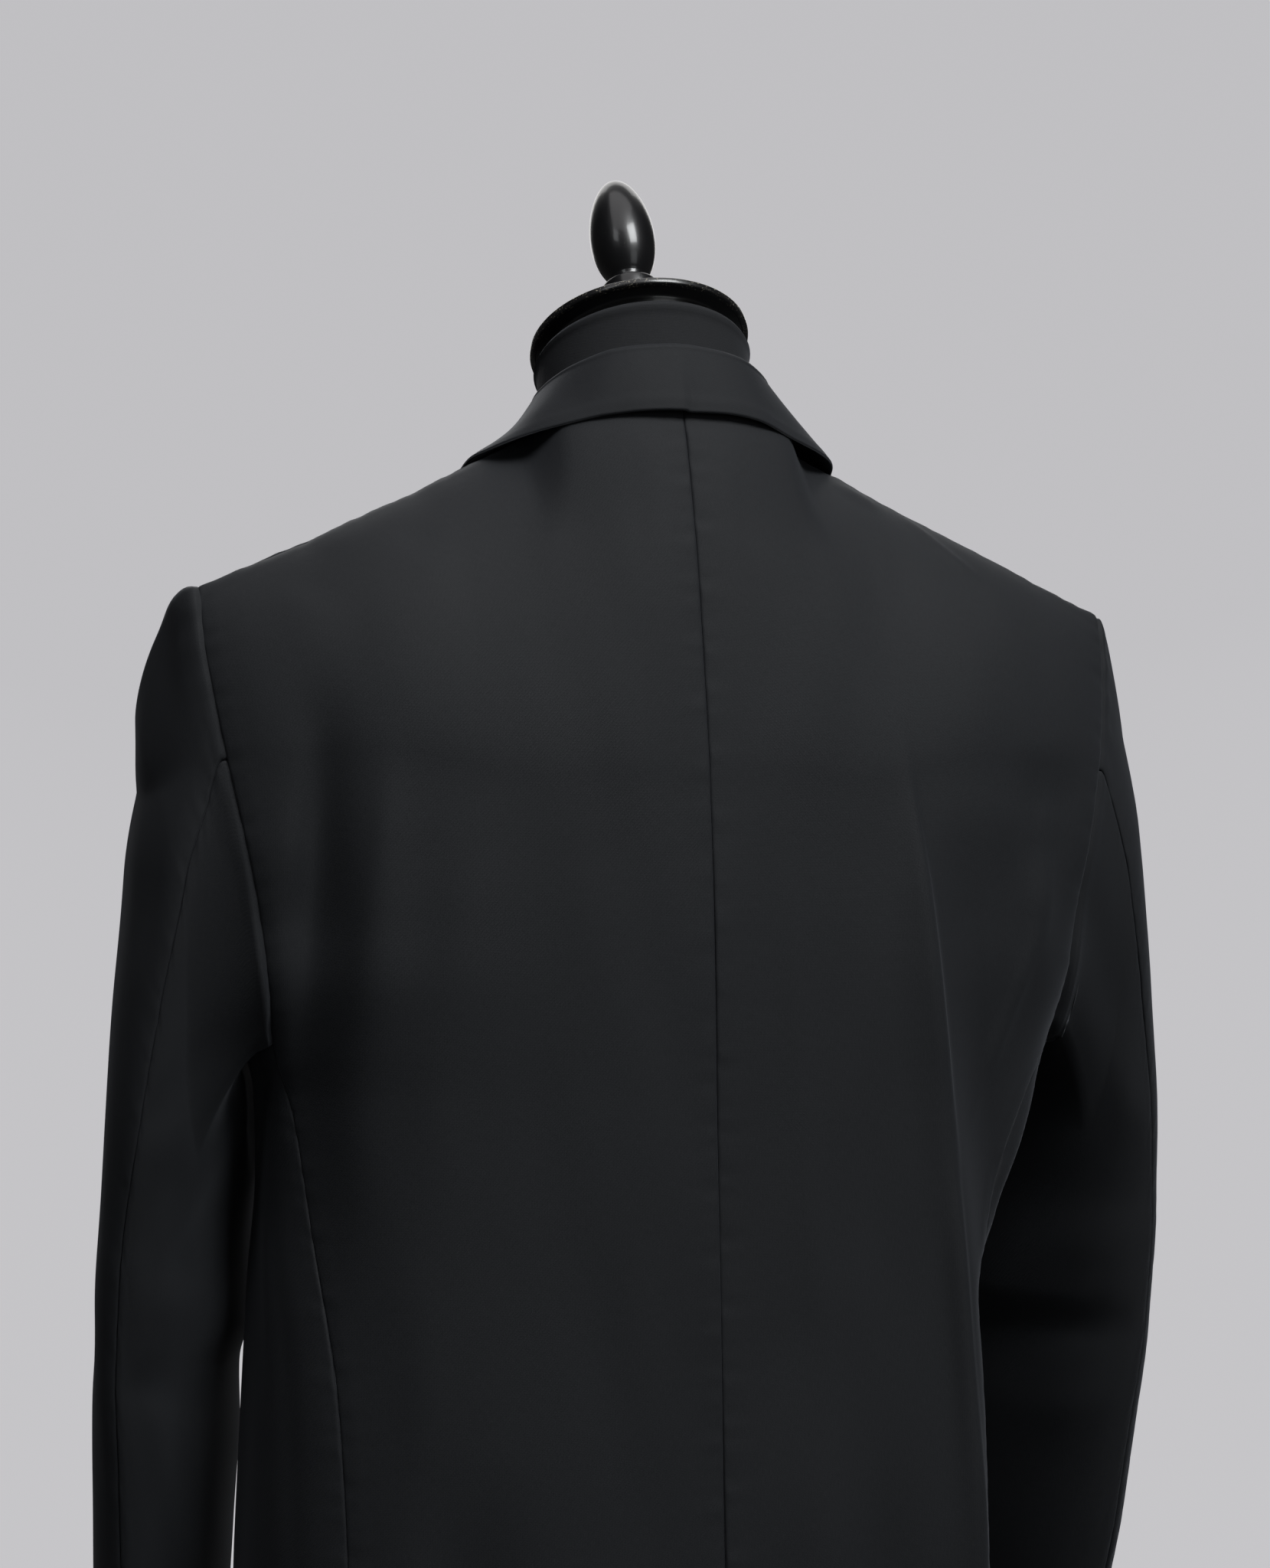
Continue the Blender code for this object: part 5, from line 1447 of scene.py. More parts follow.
@dataclass
class Collar:
    """The stand and fall of the collar, folded over round the neck."""

    stations: int = 84
    fold_radius: float = 0.0022
    lean_share: float = 0.58
    lean_width: float = 0.16
    fullness: float = 0.0004
    wave: float = 0.0007
    waves: float = 19
    swell: dict = by_hand(-0.0045, 0.0004)
    drop: dict = by_hand(0.0012, 0.0)
    line: Table = Table(
        ("share", "foot_x", "foot_y", "foot_z", "fold_x", "fold_y", "fold_z", "edge_x", "edge_y", "edge_z"),
        (
            (0.00, 0.0000, 0.0515, 0.9142, 0.0000, 0.0515, 0.9405, 0.0000, 0.0625, 0.9055),
            (0.16, 0.0300, 0.0483, 0.9130, 0.0280, 0.0478, 0.9380, 0.0330, 0.0597, 0.9045),
            (0.32, 0.0560, 0.0393, 0.9078, 0.0500, 0.0360, 0.9310, 0.0700, 0.0462, 0.8955),
            (0.46, 0.0735, 0.0235, 0.8992, 0.0605, 0.0190, 0.9250, 0.0945, 0.0300, 0.8880),
            (0.60, 0.0752, 0.0085, 0.8925, 0.0640, 0.0020, 0.9180, 0.1045, 0.0080, 0.8842),
            (0.74, 0.0665, -0.0080, 0.8855, 0.0648, -0.0165, 0.8995, 0.1080, -0.0150, 0.8700),
            (0.87, 0.0625, -0.0225, 0.8740, 0.0638, -0.0300, 0.8820, 0.1065, -0.0345, 0.8560),
            (1.00, 0.0585, -0.0360, 0.8570, 0.0618, -0.0430, 0.8645, 0.1015, -0.0495, 0.8450),
        ),
    )

    def half(self, hand: Hand) -> Array:
        """Sections from the middle of the back to the front end."""
        coarse = np.linspace(0, 1, 11)
        shares = np.linspace(0, 1, self.stations + 1)
        shares = np.concatenate((shares[:-1], 1 - np.array((0.0060, 0.0035, 0.0016, 0.0006)), (1.0,)))
        shares = np.unique(shares)
        knots = self.line.column("share")
        triple = {}
        for name in ("foot", "fold", "edge"):
            values = [self.line.column(f"{name}_{axis}") for axis in "xyz"]
            triple[name] = stack(*(mirrored(knots, v, coarse, odd=i == 0) for i, v in enumerate(values)))
        lean = bell(coarse, self.lean_share, self.lean_width)
        triple["edge"][:, 2] -= self.drop[hand] * lean
        way = np.gradient(triple["fold"], axis=0)
        way[0] = (1, 0, 0)
        way = unit(way)
        outward = unit(stack(-way[:, 1], way[:, 0], 0 * way[:, 0]))
        up = unit(np.cross(way, outward))

        def fine(values: Array) -> Array:
            return stack(*(mirrored(coarse, values[:, k], shares, odd=k == 0) for k in range(3)))

        foot, fold, edge, outward, up = (
            fine(part) for part in (triple["foot"], triple["fold"], triple["edge"], outward, up)
        )
        outward, up = unit(outward), unit(up)
        lean = bell(shares, self.lean_share, self.lean_width)[:, None]
        bend = np.linspace(0, math.pi, 13)
        arc = [fold + self.fold_radius * (-math.cos(a) * outward + math.sin(a) * up) for a in bend]
        stand = [mix(foot, arc[0], t) for t in np.linspace(0, 1, 12)[:-1]]
        fall = []
        near_edge = (0.965, 0.978, 0.988, 0.995, 1.0)
        for t in (*np.linspace(0, 1, 22)[1:-1], *near_edge):
            bulge = (self.swell[hand] * lean + self.fullness) * math.sin(math.pi * t)
            wave = self.wave * np.sin(shares[:, None] * self.waves + hand.value) * t
            fall.append(mix(arc[-1], edge, t) + (bulge + wave * (1 - lean)) * unit(outward + up))
        made = np.array(stand + arc + fall).transpose(1, 0, 2)
        return made * (hand.value, 1, 1)

    def build(self, finishes: Finishes) -> None:
        """Builds the collar."""
        grid = np.concatenate((self.half(Hand.RIGHT)[:0:-1], self.half(Hand.LEFT))).transpose(1, 0, 2)
        out = np.cross(np.gradient(grid, axis=1), np.gradient(grid, axis=0))
        edges = edge_styles(folds=("first", "last", "top"))
        relief = Unevenness(height=0.00025).relief(distances(grid, 1), distances(grid, 0), 41)
        wall = Wall("collar_piece", grid, out, edges, relief, seed=41)
        dress_cloth(wall, "collar", finishes.suiting)


@dataclass
class Lapel:
    """A lapel, turned back on its front from the break to the notch."""

    hand: Hand
    layer: float = 0.0034
    roll_layer: float = 0.0031
    gap: float = 0.0006
    belly: float = 0.0030
    width: Table = Table(
        ("share", "width"), ((0.00, 0.004), (0.25, 0.040), (0.60, 0.072), (0.90, 0.088), (1.00, 0.084))
    )
    top: Table = Table(
        ("share", "z"), ((0.00, 0.8585), (0.17, 0.8535), (0.33, 0.8470), (0.50, 0.8370), (1.00, 0.7990))
    )
    feet: dict = by_hand(0.478, 0.522)

    def grid(self) -> Array:
        """Rows from the break up, columns from the roll line out."""
        foot = self.feet[self.hand]
        across = spread((0.0, 1.0), 44, (0.001, 0.003, 0.008, 0.015))
        top = np.interp(across, self.top.column("share"), self.top.column("z"))
        low = (foot - self.feet[Hand.LEFT]) / (top[0] - self.feet[Hand.LEFT])
        rows = []
        for share in spread((0.0, 1.0), 100, (0.0004, 0.0012, 0.0025, 0.0045)):
            z = mix(foot, top, share)
            roll = FORM.inner_x(z) + self.gap
            outer = roll + self.width.at("width", mix(low, 1, share))
            inner = roll if self.hand is Hand.LEFT else np.maximum(roll, 3 * self.gap - roll)
            x = mix(inner, np.maximum(outer, inner + 2 * CLOTH), across)
            lift = mix(self.roll_layer, self.layer, ease(across * 4))
            belly = self.belly * np.sin(math.pi * np.clip(across * 1.25, 0, 1)) * ease(share * 3)
            lift = lift + belly * ease((1 - share) * 5)
            rows.append(FORM.on_front(self.hand, x, z, lift))
        return np.array(rows)

    def build(self, finishes: Finishes) -> None:
        """Builds the lapel."""
        dress_on_front(self.hand, "lapel", self.grid(), 50, finishes)


@dataclass
class Flap:
    """A pocket flap with rounded lower corners."""

    hand: Hand
    top_z: float = 0.372
    foot_z: float = 0.318
    inner_x: float = 0.056
    outer_x: float = 0.146
    corner: float = 0.014
    corner_rise: float = 0.92
    slant: float = 0.004
    layer: float = 0.0034

    def build(self, finishes: Finishes) -> None:
        """Builds the flap."""
        across = spread((0.0, 1.0), 34, (0.001, 0.003, 0.007, 0.013))
        rows = []
        for share in spread((0.0, 1.0), 22, (0.002, 0.006, 0.013, 0.024)):
            x = mix(self.inner_x, self.outer_x, across) + self.slant * share
            near = np.minimum(across, 1 - across) * (self.outer_x - self.inner_x)
            cut = self.corner * (1 - round_edge(near, self.corner))
            z = mix(self.foot_z + cut * self.corner_rise, self.top_z, share) + self.slant * across
            rows.append(FORM.on_front(self.hand, x, z, np.full(len(across), self.layer)))
        dress_on_front(self.hand, "pocket_flap", np.array(rows), 60, finishes)


def thread_tube(name: str, path: Array, radius: float, closed: bool = False) -> Piece:
    """A round thread along points.

    Args:
        name: The piece's name.
        path: Points that it follows.
        radius: Its radius.
        closed: Whether it is a ring.

    Returns:
        The new mesh object.
    """
    curve = bpy.data.curves.new(name, "CURVE")
    curve.dimensions, curve.bevel_depth, curve.bevel_resolution = "3D", radius, 2
    curve.use_fill_caps = not closed
    spline = curve.splines.new("POLY")
    spline.points.add(len(path) - 1)
    spline.points.foreach_set("co", np.concatenate((path, np.ones((len(path), 1))), axis=1).ravel())
    spline.use_cyclic_u = closed
    holder = bpy.data.objects.new(name, curve)
    bpy.context.scene.collection.objects.link(holder)
    return plain_mesh(holder, name)


def plain_mesh(holder: Piece, name: str) -> Piece:
    """The evaluated object as a plain mesh in the holder's place."""
    bpy.context.view_layer.update()
    graph = bpy.context.evaluated_depsgraph_get()
    mesh = bpy.data.meshes.new_from_object(holder.evaluated_get(graph))
    mesh.transform(holder.matrix_world)
    bpy.data.objects.remove(holder)
    mesh.name = name
    made = bpy.data.objects.new(name, mesh)
    bpy.context.scene.collection.objects.link(made)
    return made


STITCH_TURN = 0.12


def stitch_tree() -> Nodes:
    """Geometry nodes that set stitches side by side across a path, with named sizes."""
    tree = bpy.data.node_groups.new("bar_stitches", "GeometryNodeTree")
    face = tree.interface
    face.new_socket("Geometry", in_out="INPUT", socket_type="NodeSocketGeometry")
    for name, default in (("Spacing", 0.0005), ("Length", 0.0022), ("Radius", 0.00024)):
        face.new_socket(name, in_out="INPUT", socket_type="NodeSocketFloat").default_value = default
    face.new_socket("Material", in_out="INPUT", socket_type="NodeSocketMaterial")
    face.new_socket("Geometry", in_out="OUTPUT", socket_type="NodeSocketGeometry")
    maker = Tree(tree)
    given = maker.add("NodeGroupInput").outputs
    path = maker.add("GeometryNodeMeshToCurve", {"Mesh": given["Geometry"]})
    spots = maker.add(
        "GeometryNodeCurveToPoints", {"Curve": path.outputs[0], "Length": given["Spacing"]}, mode="LENGTH"
    )
    stitch = maker.add(
        "GeometryNodeMeshUVSphere", {"Segments": 8, "Rings": 6, "Radius": given["Radius"]}
    )
    stretch = maker.math("DIVIDE", given["Length"], maker.math("MULTIPLY", given["Radius"], 2.0))
    size = maker.add("ShaderNodeCombineXYZ", {"X": stretch, "Y": 1.0, "Z": 1.0})
    shaped = maker.add(
        "GeometryNodeTransform", {"Geometry": stitch.outputs["Mesh"], "Scale": size.outputs[0]}
    )
    jitter = maker.add(
        "FunctionNodeRandomValue",
        {"Min": (-STITCH_TURN,) * 3, "Max": (STITCH_TURN,) * 3, "Seed": SEED},
        data_type="FLOAT_VECTOR",
    )
    placed = maker.add(
        "GeometryNodeInstanceOnPoints",
        {
            "Points": spots.outputs["Points"],
            "Instance": shaped.outputs["Geometry"],
            "Rotation": spots.outputs["Rotation"],
        },
    )
    turned_a_little = maker.add(
        "GeometryNodeRotateInstances",
        {"Instances": placed.outputs["Instances"], "Rotation": jitter.outputs[0]},
    )
    real = maker.add("GeometryNodeRealizeInstances", {"Geometry": turned_a_little.outputs[0]})
    dressed = maker.add(
        "GeometryNodeSetMaterial", {"Geometry": real.outputs[0], "Material": given["Material"]}
    )
    result = maker.add("NodeGroupOutput")
    tree.links.new(dressed.outputs[0], result.inputs[0])
    return tree


def stitches_along(
    name: str, path: Array, tree: Nodes, material: Material, sizes: dict[str, float]
) -> Piece:
    """Stitches across a path, as one plain mesh.

    Args:
        name: The piece's name.
        path: Points of the path.
        tree: The stitches' geometry nodes.
        material: Their finish.
        sizes: Values for the tree's named inputs.

    Returns:
        The new object.
    """
    mesh = bpy.data.meshes.new(name)
    mesh.from_pydata(path.tolist(), [(i, i + 1) for i in range(len(path) - 1)], [])
    holder = bpy.data.objects.new(name, mesh)
    bpy.context.scene.collection.objects.link(holder)
    modifier = holder.modifiers.new("stitches", "NODES")
    modifier.node_group = tree
    for item in tree.interface.items_tree:
        if item.in_out == "INPUT" and item.name in sizes:
            modifier[item.identifier] = sizes[item.name]
        elif item.in_out == "INPUT" and item.name == "Material":
            modifier[item.identifier] = material
    return plain_mesh(holder, name)


@dataclass
class FrontButton:
    """A four-hole button, sewn on with a crossed thread, and the buttonhole that it goes through."""

    height: str
    z: float
    radius: float = 0.0100
    thickness: float = 0.0034
    lip: float = 0.0016
    well: float = 0.0009
    hole_radius: float = 0.00105
    hole_offset: float = 0.0019
    clearance: float = 0.0006
    thread_radius: float = 0.00036
    hole_reach: Pair = (-0.0140, 0.0105)
    hole_half_width: float = 0.0012
    hole_eye: Pair = (-0.0125, 0.0015)

    def profile(self) -> list[Pair]:
        """(radius, z) of the button's face, rim and back."""
        r, t = self.radius, self.thickness
        return [
            (0, 0), (r - 0.0018, 0), (r - 0.0006, 0.0004), (r, t * 0.45), (r, t * 0.62),
            (r - 0.0005, t * 0.92), (r - 0.0010, t), (r - self.lip, t * 0.96),
            (r - self.lip - 0.0009, t - self.well), (r - self.lip - 0.0022, t - self.well - 0.0001),
            (0, t - self.well - 0.0001),
        ]

    def placed(self, points: Array) -> Array:
        """Points given about the button's own axis, in their place on the front."""
        turn = np.array(((1, 0, 0), (0, 0, -1), (0, 1, 0)), float)
        seat = FORM.on_front(Hand.LEFT, np.array(0.0), np.array(self.z), CLOTH / 2 + self.clearance)
        return np.asarray(points) @ turn.T + seat

    def disc(self, name: str) -> Piece:
        """The turned button with its four holes."""
        made = turned(name, self.profile(), 64)
        for k in range(4):
            angle = math.pi / 4 + k * math.pi / 2
            across, up = self.hole_offset * math.cos(angle), self.hole_offset * math.sin(angle)
            bpy.ops.mesh.primitive_cylinder_add(
                vertices=20, radius=self.hole_radius, depth=0.02, location=(across, up, self.thickness / 2)
            )
            cutter = bpy.context.active_object
            cut = made.modifiers.new("hole", "BOOLEAN")
            cut.operation, cut.object, cut.solver = "DIFFERENCE", cutter, "EXACT"
            made = plain_mesh(made, name)
            bpy.data.objects.remove(cutter)
        move_points(made, self.placed)
        smooth_up_to(made, 35)
        return made

    def strands(self) -> list[Array]:
        """The two threads that cross between the holes, the second over the first."""
        o = self.hole_offset * math.cos(math.pi / 4)
        t = np.linspace(0, 1, 15)
        dip = np.where((t < 0.01) | (t > 0.99), -0.0012, 0)
        paths = []
        for number, (a, b) in enumerate((((-o, -o), (o, o)), ((-o, o), (o, -o)))):
            lift = self.thickness - self.well + 0.0003 + 0.00035 * np.sin(math.pi * t) + 0.0002 * number
            paths.append(self.placed(stack(mix(a[0], b[0], t), mix(a[1], b[1], t), lift + dip)))
        return paths

    def buttonhole(self) -> Array:
        """The line round the buttonhole, with its eye at the outer end."""
        x = np.linspace(*self.hole_reach, 30)
        ring = []
        for sign, line in ((1, x), (-1, x[::-1])):
            z = self.z + sign * self.hole_half_width * (1 + 0.6 * bell(line, *self.hole_eye))
            ring.append(FORM.on_front(Hand.LEFT, line, z, np.full(len(line), CLOTH / 2 + 0.0002)))
        return np.concatenate((*ring, ring[0][:1]))

    def build(self, finishes: Finishes, tree: Nodes) -> None:
        """Builds the button, its thread and its buttonhole."""
        node = f"front_button_{self.height}"
        dress(self.disc(f"{node}_disc"), node, finishes.horn)
        for number, path in enumerate(self.strands()):
            strand = thread_tube(f"{node}_thread_{number}", path, self.thread_radius)
            dress(strand, None, finishes.thread)
        sizes = {"Spacing": 0.00050, "Length": 0.0021, "Radius": 0.00026}
        hole = stitches_along(f"{node}_hole_stitches", self.buttonhole(), tree, finishes.thread, sizes)
        dress(hole, None, finishes.thread)


@dataclass
class DressForm:
    """The padded torso and neck, the turned cap and its finial."""

    foot_z: float = 0.205
    drop: float = 0.0017
    neck_radius: float = 0.060
    neck_back_y: float = 0.046
    neck_front_y: float = -0.048
    neck_front_z: float = 0.862
    neck_base_x: float = 0.087
    neck_steps: int = 40
    neck_waist: float = 0.02
    neck_lip: float = 0.0011
    neck_round: float = 0.0016
    foot_of_neck: Pair = (0.80, 0.925)
    foot_reach: float = 0.12
    foot_rounds: int = 14
    cap_centre: Triple = (0.0, -0.019, 0.955)
    cap_tilt: float = math.radians(25)
    cap_radius: float = 0.0615
    cap_rim: float = 0.0040
    cap_dome: float = 0.026
    rim_start: float = 0.955
    rim_wear: float = 0.7
    boss_radius: float = 0.050
    boss: float = 0.0085
    neck_top: Pair = (0.0600, 0.0590)
    gap: float = 0.0003
    sections: Table = Table(
        ("z", "half_width", "back", "front", "squareness"),
        (
            (0.200, 0.160, 0.100, 0.096, 2.2),
            (0.300, 0.163, 0.104, 0.098, 2.2),
            (0.400, 0.154, 0.096, 0.094, 2.2),
            (0.470, 0.148, 0.088, 0.094, 2.2),
            (0.575, 0.162, 0.092, 0.105, 2.3),
            (0.680, 0.180, 0.094, 0.108, 2.5),
            (0.760, 0.188, 0.092, 0.097, 2.8),
            (0.920, 0.190, 0.091, 0.090, 3.0),
        ),
    )

    def top(self, x: Array, behind: bool) -> tuple[Array, Array]:
        """(y, z) of the torso's top edge: the neck's base and the ridge of the shoulder."""
        x = np.abs(x)
        ridge_z = FORM.shoulder(np.maximum(x, self.neck_base_x))[1] - self.drop
        ridge_y = FORM.shoulder(np.maximum(x, self.neck_radius))[0]
        bend = np.sqrt(np.clip(1 - (x / self.neck_radius) ** 2, 0, 1))
        far_y = self.neck_back_y if behind else self.neck_front_y
        far_z = ridge_z if behind else self.neck_front_z
        return mix(ridge_y, far_y, bend), mix(ridge_z, far_z, bend)

    def skin(self, behind: bool) -> Array:
        """Rows of points up the torso's back or front."""
        ratio = self.neck_radius / self.sections.at("half_width", 0.92)
        half_steps = self.neck_steps // 2
        near = ratio * np.sin(math.pi * np.arange(half_steps + 1) / self.neck_steps)
        far = np.concatenate((np.linspace(ratio, 1, 30)[1:], (0.9990, 0.9997)))
        half = np.unique(np.concatenate((near, far)))
        across = np.concatenate((-half[:0:-1], half))
        top_x = across * self.sections.at("half_width", 0.92)
        face, sign = ("back", 1) if behind else ("front", -1)
        rows = []
        for row in spread((0.0, TOP), 5, (0.02, 0.06)):
            drop = float(drop_of(row))
            if row <= LOWER:
                z = np.full(len(across), mix(self.foot_z, FORM.back_top_z, row / LOWER))
            else:
                z = mix(self.top(top_x, behind)[1], FORM.back_top_z, drop)
            x = top_x if row >= TOP else across * self.sections.at("half_width", z)
            share = np.abs(x) / self.sections.at("half_width", z)
            full = sign * self.sections.at(face, z) * quarter(share, self.sections.at("squareness", z))
            seam_y, seam_z = self.top(x, behind)
            height = FORM.rounding.at(f"{face}_height", np.abs(x))
            rise = arch((seam_z - z) / height, FORM.rounding.at(f"{face}_power", np.abs(x)))
            y = mix(seam_y, full, rise)
            y[[0, -1]] = FORM.shoulder(top_x[-1:])[0] * (1 - ease(drop * 2 if row > LOWER else 1.0))
            rows.append(stack(x, y, z))
        return np.array(rows)

    def tilted(self, points: Array) -> Array:
        """Points given about the cap's own centre and axis, in the scene's frame."""
        c, s = math.cos(self.cap_tilt), math.sin(self.cap_tilt)
        turn = np.array(((1, 0, 0), (0, c, -s), (0, s, c)))
        return np.asarray(points) @ turn.T + np.array(self.cap_centre)

    def neck_rings(self, base: Array) -> list[Array]:
        """Rings of points from the neck's base up to the cap, with a slight waist and a lip."""
        arc = np.linspace(math.pi, 0, self.neck_steps + 1)
        angle = np.concatenate((arc, -arc[-2:0:-1]))
        below = -(self.cap_rim / 2 + self.boss + self.gap)
        ring = stack(self.neck_top[0] * np.cos(angle), self.neck_top[1] * np.sin(angle), below + 0 * angle)
        top = self.tilted(ring)
        rings = []
        for t in (*np.linspace(0, 0.93, 26), 0.955, 0.975, 0.99, 1.0):
            straight = mix(base, top, t)
            waist = 1 - self.neck_waist * math.sin(math.pi * t)
            lip = self.neck_lip * bell(t, 0.955, 0.018) - self.neck_round * max(0.0, (t - 0.985) / 0.015)
            centre = straight.mean(axis=0)
            away = straight - centre
            rings.append(centre + away * waist + unit(away) * lip)
        return rings

    def build_torso(self, finishes: Finishes) -> None:
        """Builds the covered torso with its neck."""
        back, front = self.skin(True), self.skin(False)
        rows, columns = back.shape[:2]
        count = rows * columns
        faces = []
        for i in range(rows - 1):
            for j in range(columns - 1):
                a = i * columns + j
                faces.append((a, a + 1, a + columns + 1, a + columns))
                faces.append((count + a, count + a + columns, count + a + columns + 1, count + a + 1))
        faces.append(list(range(columns)) + [count + j for j in range(columns - 2, 0, -1)])
        middle, half_steps = columns // 2, self.neck_steps // 2
        near = [middle + k for k in range(-half_steps, half_steps + 1)]
        base = np.concatenate((back[-1, near], front[-1, near[-2:0:-1]]))
        rings = self.neck_rings(base)
        start, size = 2 * count, len(base)
        for i in range(len(rings) - 1):
            for j in range(size):
                a, b = start + i * size + j, start + i * size + (j + 1) % size
                faces.append((a, b, b + size, a + size))
        faces.append([start + (len(rings) - 1) * size + j for j in range(size)])
        points = np.concatenate((back.reshape(-1, 3), front.reshape(-1, 3), np.concatenate(rings)))
        around = np.arctan2(points[:, 1], points[:, 0]) * 0.15
        made = new_piece("form_cover", points, faces, np.stack((around, points[:, 2]), axis=1))
        axes = {f"use_axis_{axis}": True for axis in "xyz"}
        with editing(made) as work:
            bmesh.ops.remove_doubles(work, verts=work.verts, dist=1e-5)
            low, high = self.foot_of_neck
            foot = [v for v in work.verts if low < v.co.z < high and abs(v.co.x) < self.foot_reach]
            for _ in range(self.foot_rounds):
                bmesh.ops.smooth_vert(work, verts=foot, factor=0.5, **axes)
            bmesh.ops.recalc_face_normals(work, faces=work.faces)
        smooth_up_to(made, 60)
        dress(made, "form_torso", finishes.jersey)

    def cap_profile(self) -> list[Pair]:
        """(radius, z) of the boss, the beaded rim and the conical dome."""
        r, h, boss, foot = self.cap_radius, self.cap_rim / 2, self.boss_radius, -self.cap_rim / 2 - self.boss
        dome = []
        for t in np.linspace(0.0, 1.0, 22):
            dome.append(((r - 0.0070) * (1 - t), h + 0.0006 + self.cap_dome * (1 - (1 - t) ** 1.35)))
        return [
            (0, foot), (boss - 0.001, foot), (boss, foot + 0.001),
            (boss, -h - 0.0012), (boss + 0.0014, -h + 0.0004), (r - 0.0034, -h + 0.0006),
            *rounded([(r - 0.0030, -h), (r - 0.0002, -h), (r, 0.0), (r - 0.0002, h), (r - 0.0030, h)], 3),
            (r - 0.0042, h - 0.0004), (r - 0.0058, h - 0.0002), *dome,
        ]

    def finial_profile(self) -> list[Pair]:
        """(radius, z) of the flange, the waist and the egg, fuller below."""
        flange, waist, top, length, start = 0.0165, 0.0092, 0.0850, 0.0724, 0.15
        egg = []
        for t in np.linspace(start, 1, 44):
            radius = 0.0184 * math.sin(math.pi * t) * (1 + 0.12 * math.cos(math.pi * t))
            egg.append((abs(radius), top - length * (1 + math.cos(math.pi * t)) / 2))
        egg[-1] = (0.0, top)
        foot = [(flange, 0.0), (flange, 0.0104), (flange - 0.0010, 0.0114), (waist + 0.0030, 0.0128)]
        return [(0.0, 0.0), *rounded([*foot, (waist + 0.0006, 0.0146), egg[1]], 2), *egg[2:]]

    def mark_rim(self, made: Piece, name: str) -> None:
        """Stores where hands and cloth have rubbed the lacquer: the cap's rim and a little of its top."""
        rubbed = made.data.attributes.new("rim", "FLOAT", "POINT")
        for vertex, value in zip(made.data.vertices, rubbed.data):
            far = math.hypot(vertex.co.x, vertex.co.y) / self.cap_radius
            value.value = self.rim_wear if far > self.rim_start and name == "neck_cap" else 0.0

    def build(self, finishes: Finishes) -> None:
        """Builds the form's pieces."""
        self.build_torso(finishes)
        for name, node, profile, height in (
            ("neck_cap", "form_neck_cap", self.cap_profile(), 0.0),
            ("finial", "form_finial", self.finial_profile(), self.cap_rim / 2 + self.cap_dome + self.gap),
        ):
            made = turned(name, profile, 128)
            self.mark_rim(made, name)
            move_points(made, lambda points: self.tilted(points + (0, 0, height)))
            dress(made, node, finishes.lacquer)


@dataclass
class Stand:
    """The pole and the round base."""

    pole_radius: float = 0.014
    foot_z: float = 0.0143
    top_z: float = 0.2047
    base_radius: float = 0.170
    base_thickness: float = 0.014

    def build(self, finishes: Finishes) -> None:
        """Builds the pole and the base."""
        r, t = self.base_radius, self.base_thickness
        edge = rounded([(r, 0.0016), (r, t * 0.62), (r - 0.0040, t - 0.0004), (r - 0.0100, t)], 3)
        base = [(0, 0), (r - 0.0030, 0), (r - 0.0012, 0.0004), *edge, (0.030, t), (0, t)]
        dress(turned("stand_foot", base, 160), "stand_base", finishes.paint)
        p = self.pole_radius
        pole = [
            (0, self.foot_z), (p - 0.0006, self.foot_z), (p, self.foot_z + 0.0006),
            (p, self.top_z - 0.0006), (p - 0.0006, self.top_z), (0, self.top_z),
        ]
        dress(turned("stand_tube", pole, 64), "stand_pole", finishes.paint)


@dataclass(frozen=True)
class Lamp:
    """A square soft light that faces the object."""

    name: str
    place: Triple
    size: float
    power: float
    colour: Triple

    def build(self, target: Triple) -> None:
        """Adds the light, turned to its target."""
        data = bpy.data.lights.new(self.name, "AREA")
        data.size, data.energy, data.color = self.size, self.power, self.colour
        made = bpy.data.objects.new(self.name, data)
        made.location = self.place
        made.rotation_euler = (Vector(target) - Vector(self.place)).to_track_quat("-Z", "Y").to_euler()
        bpy.context.scene.collection.objects.link(made)


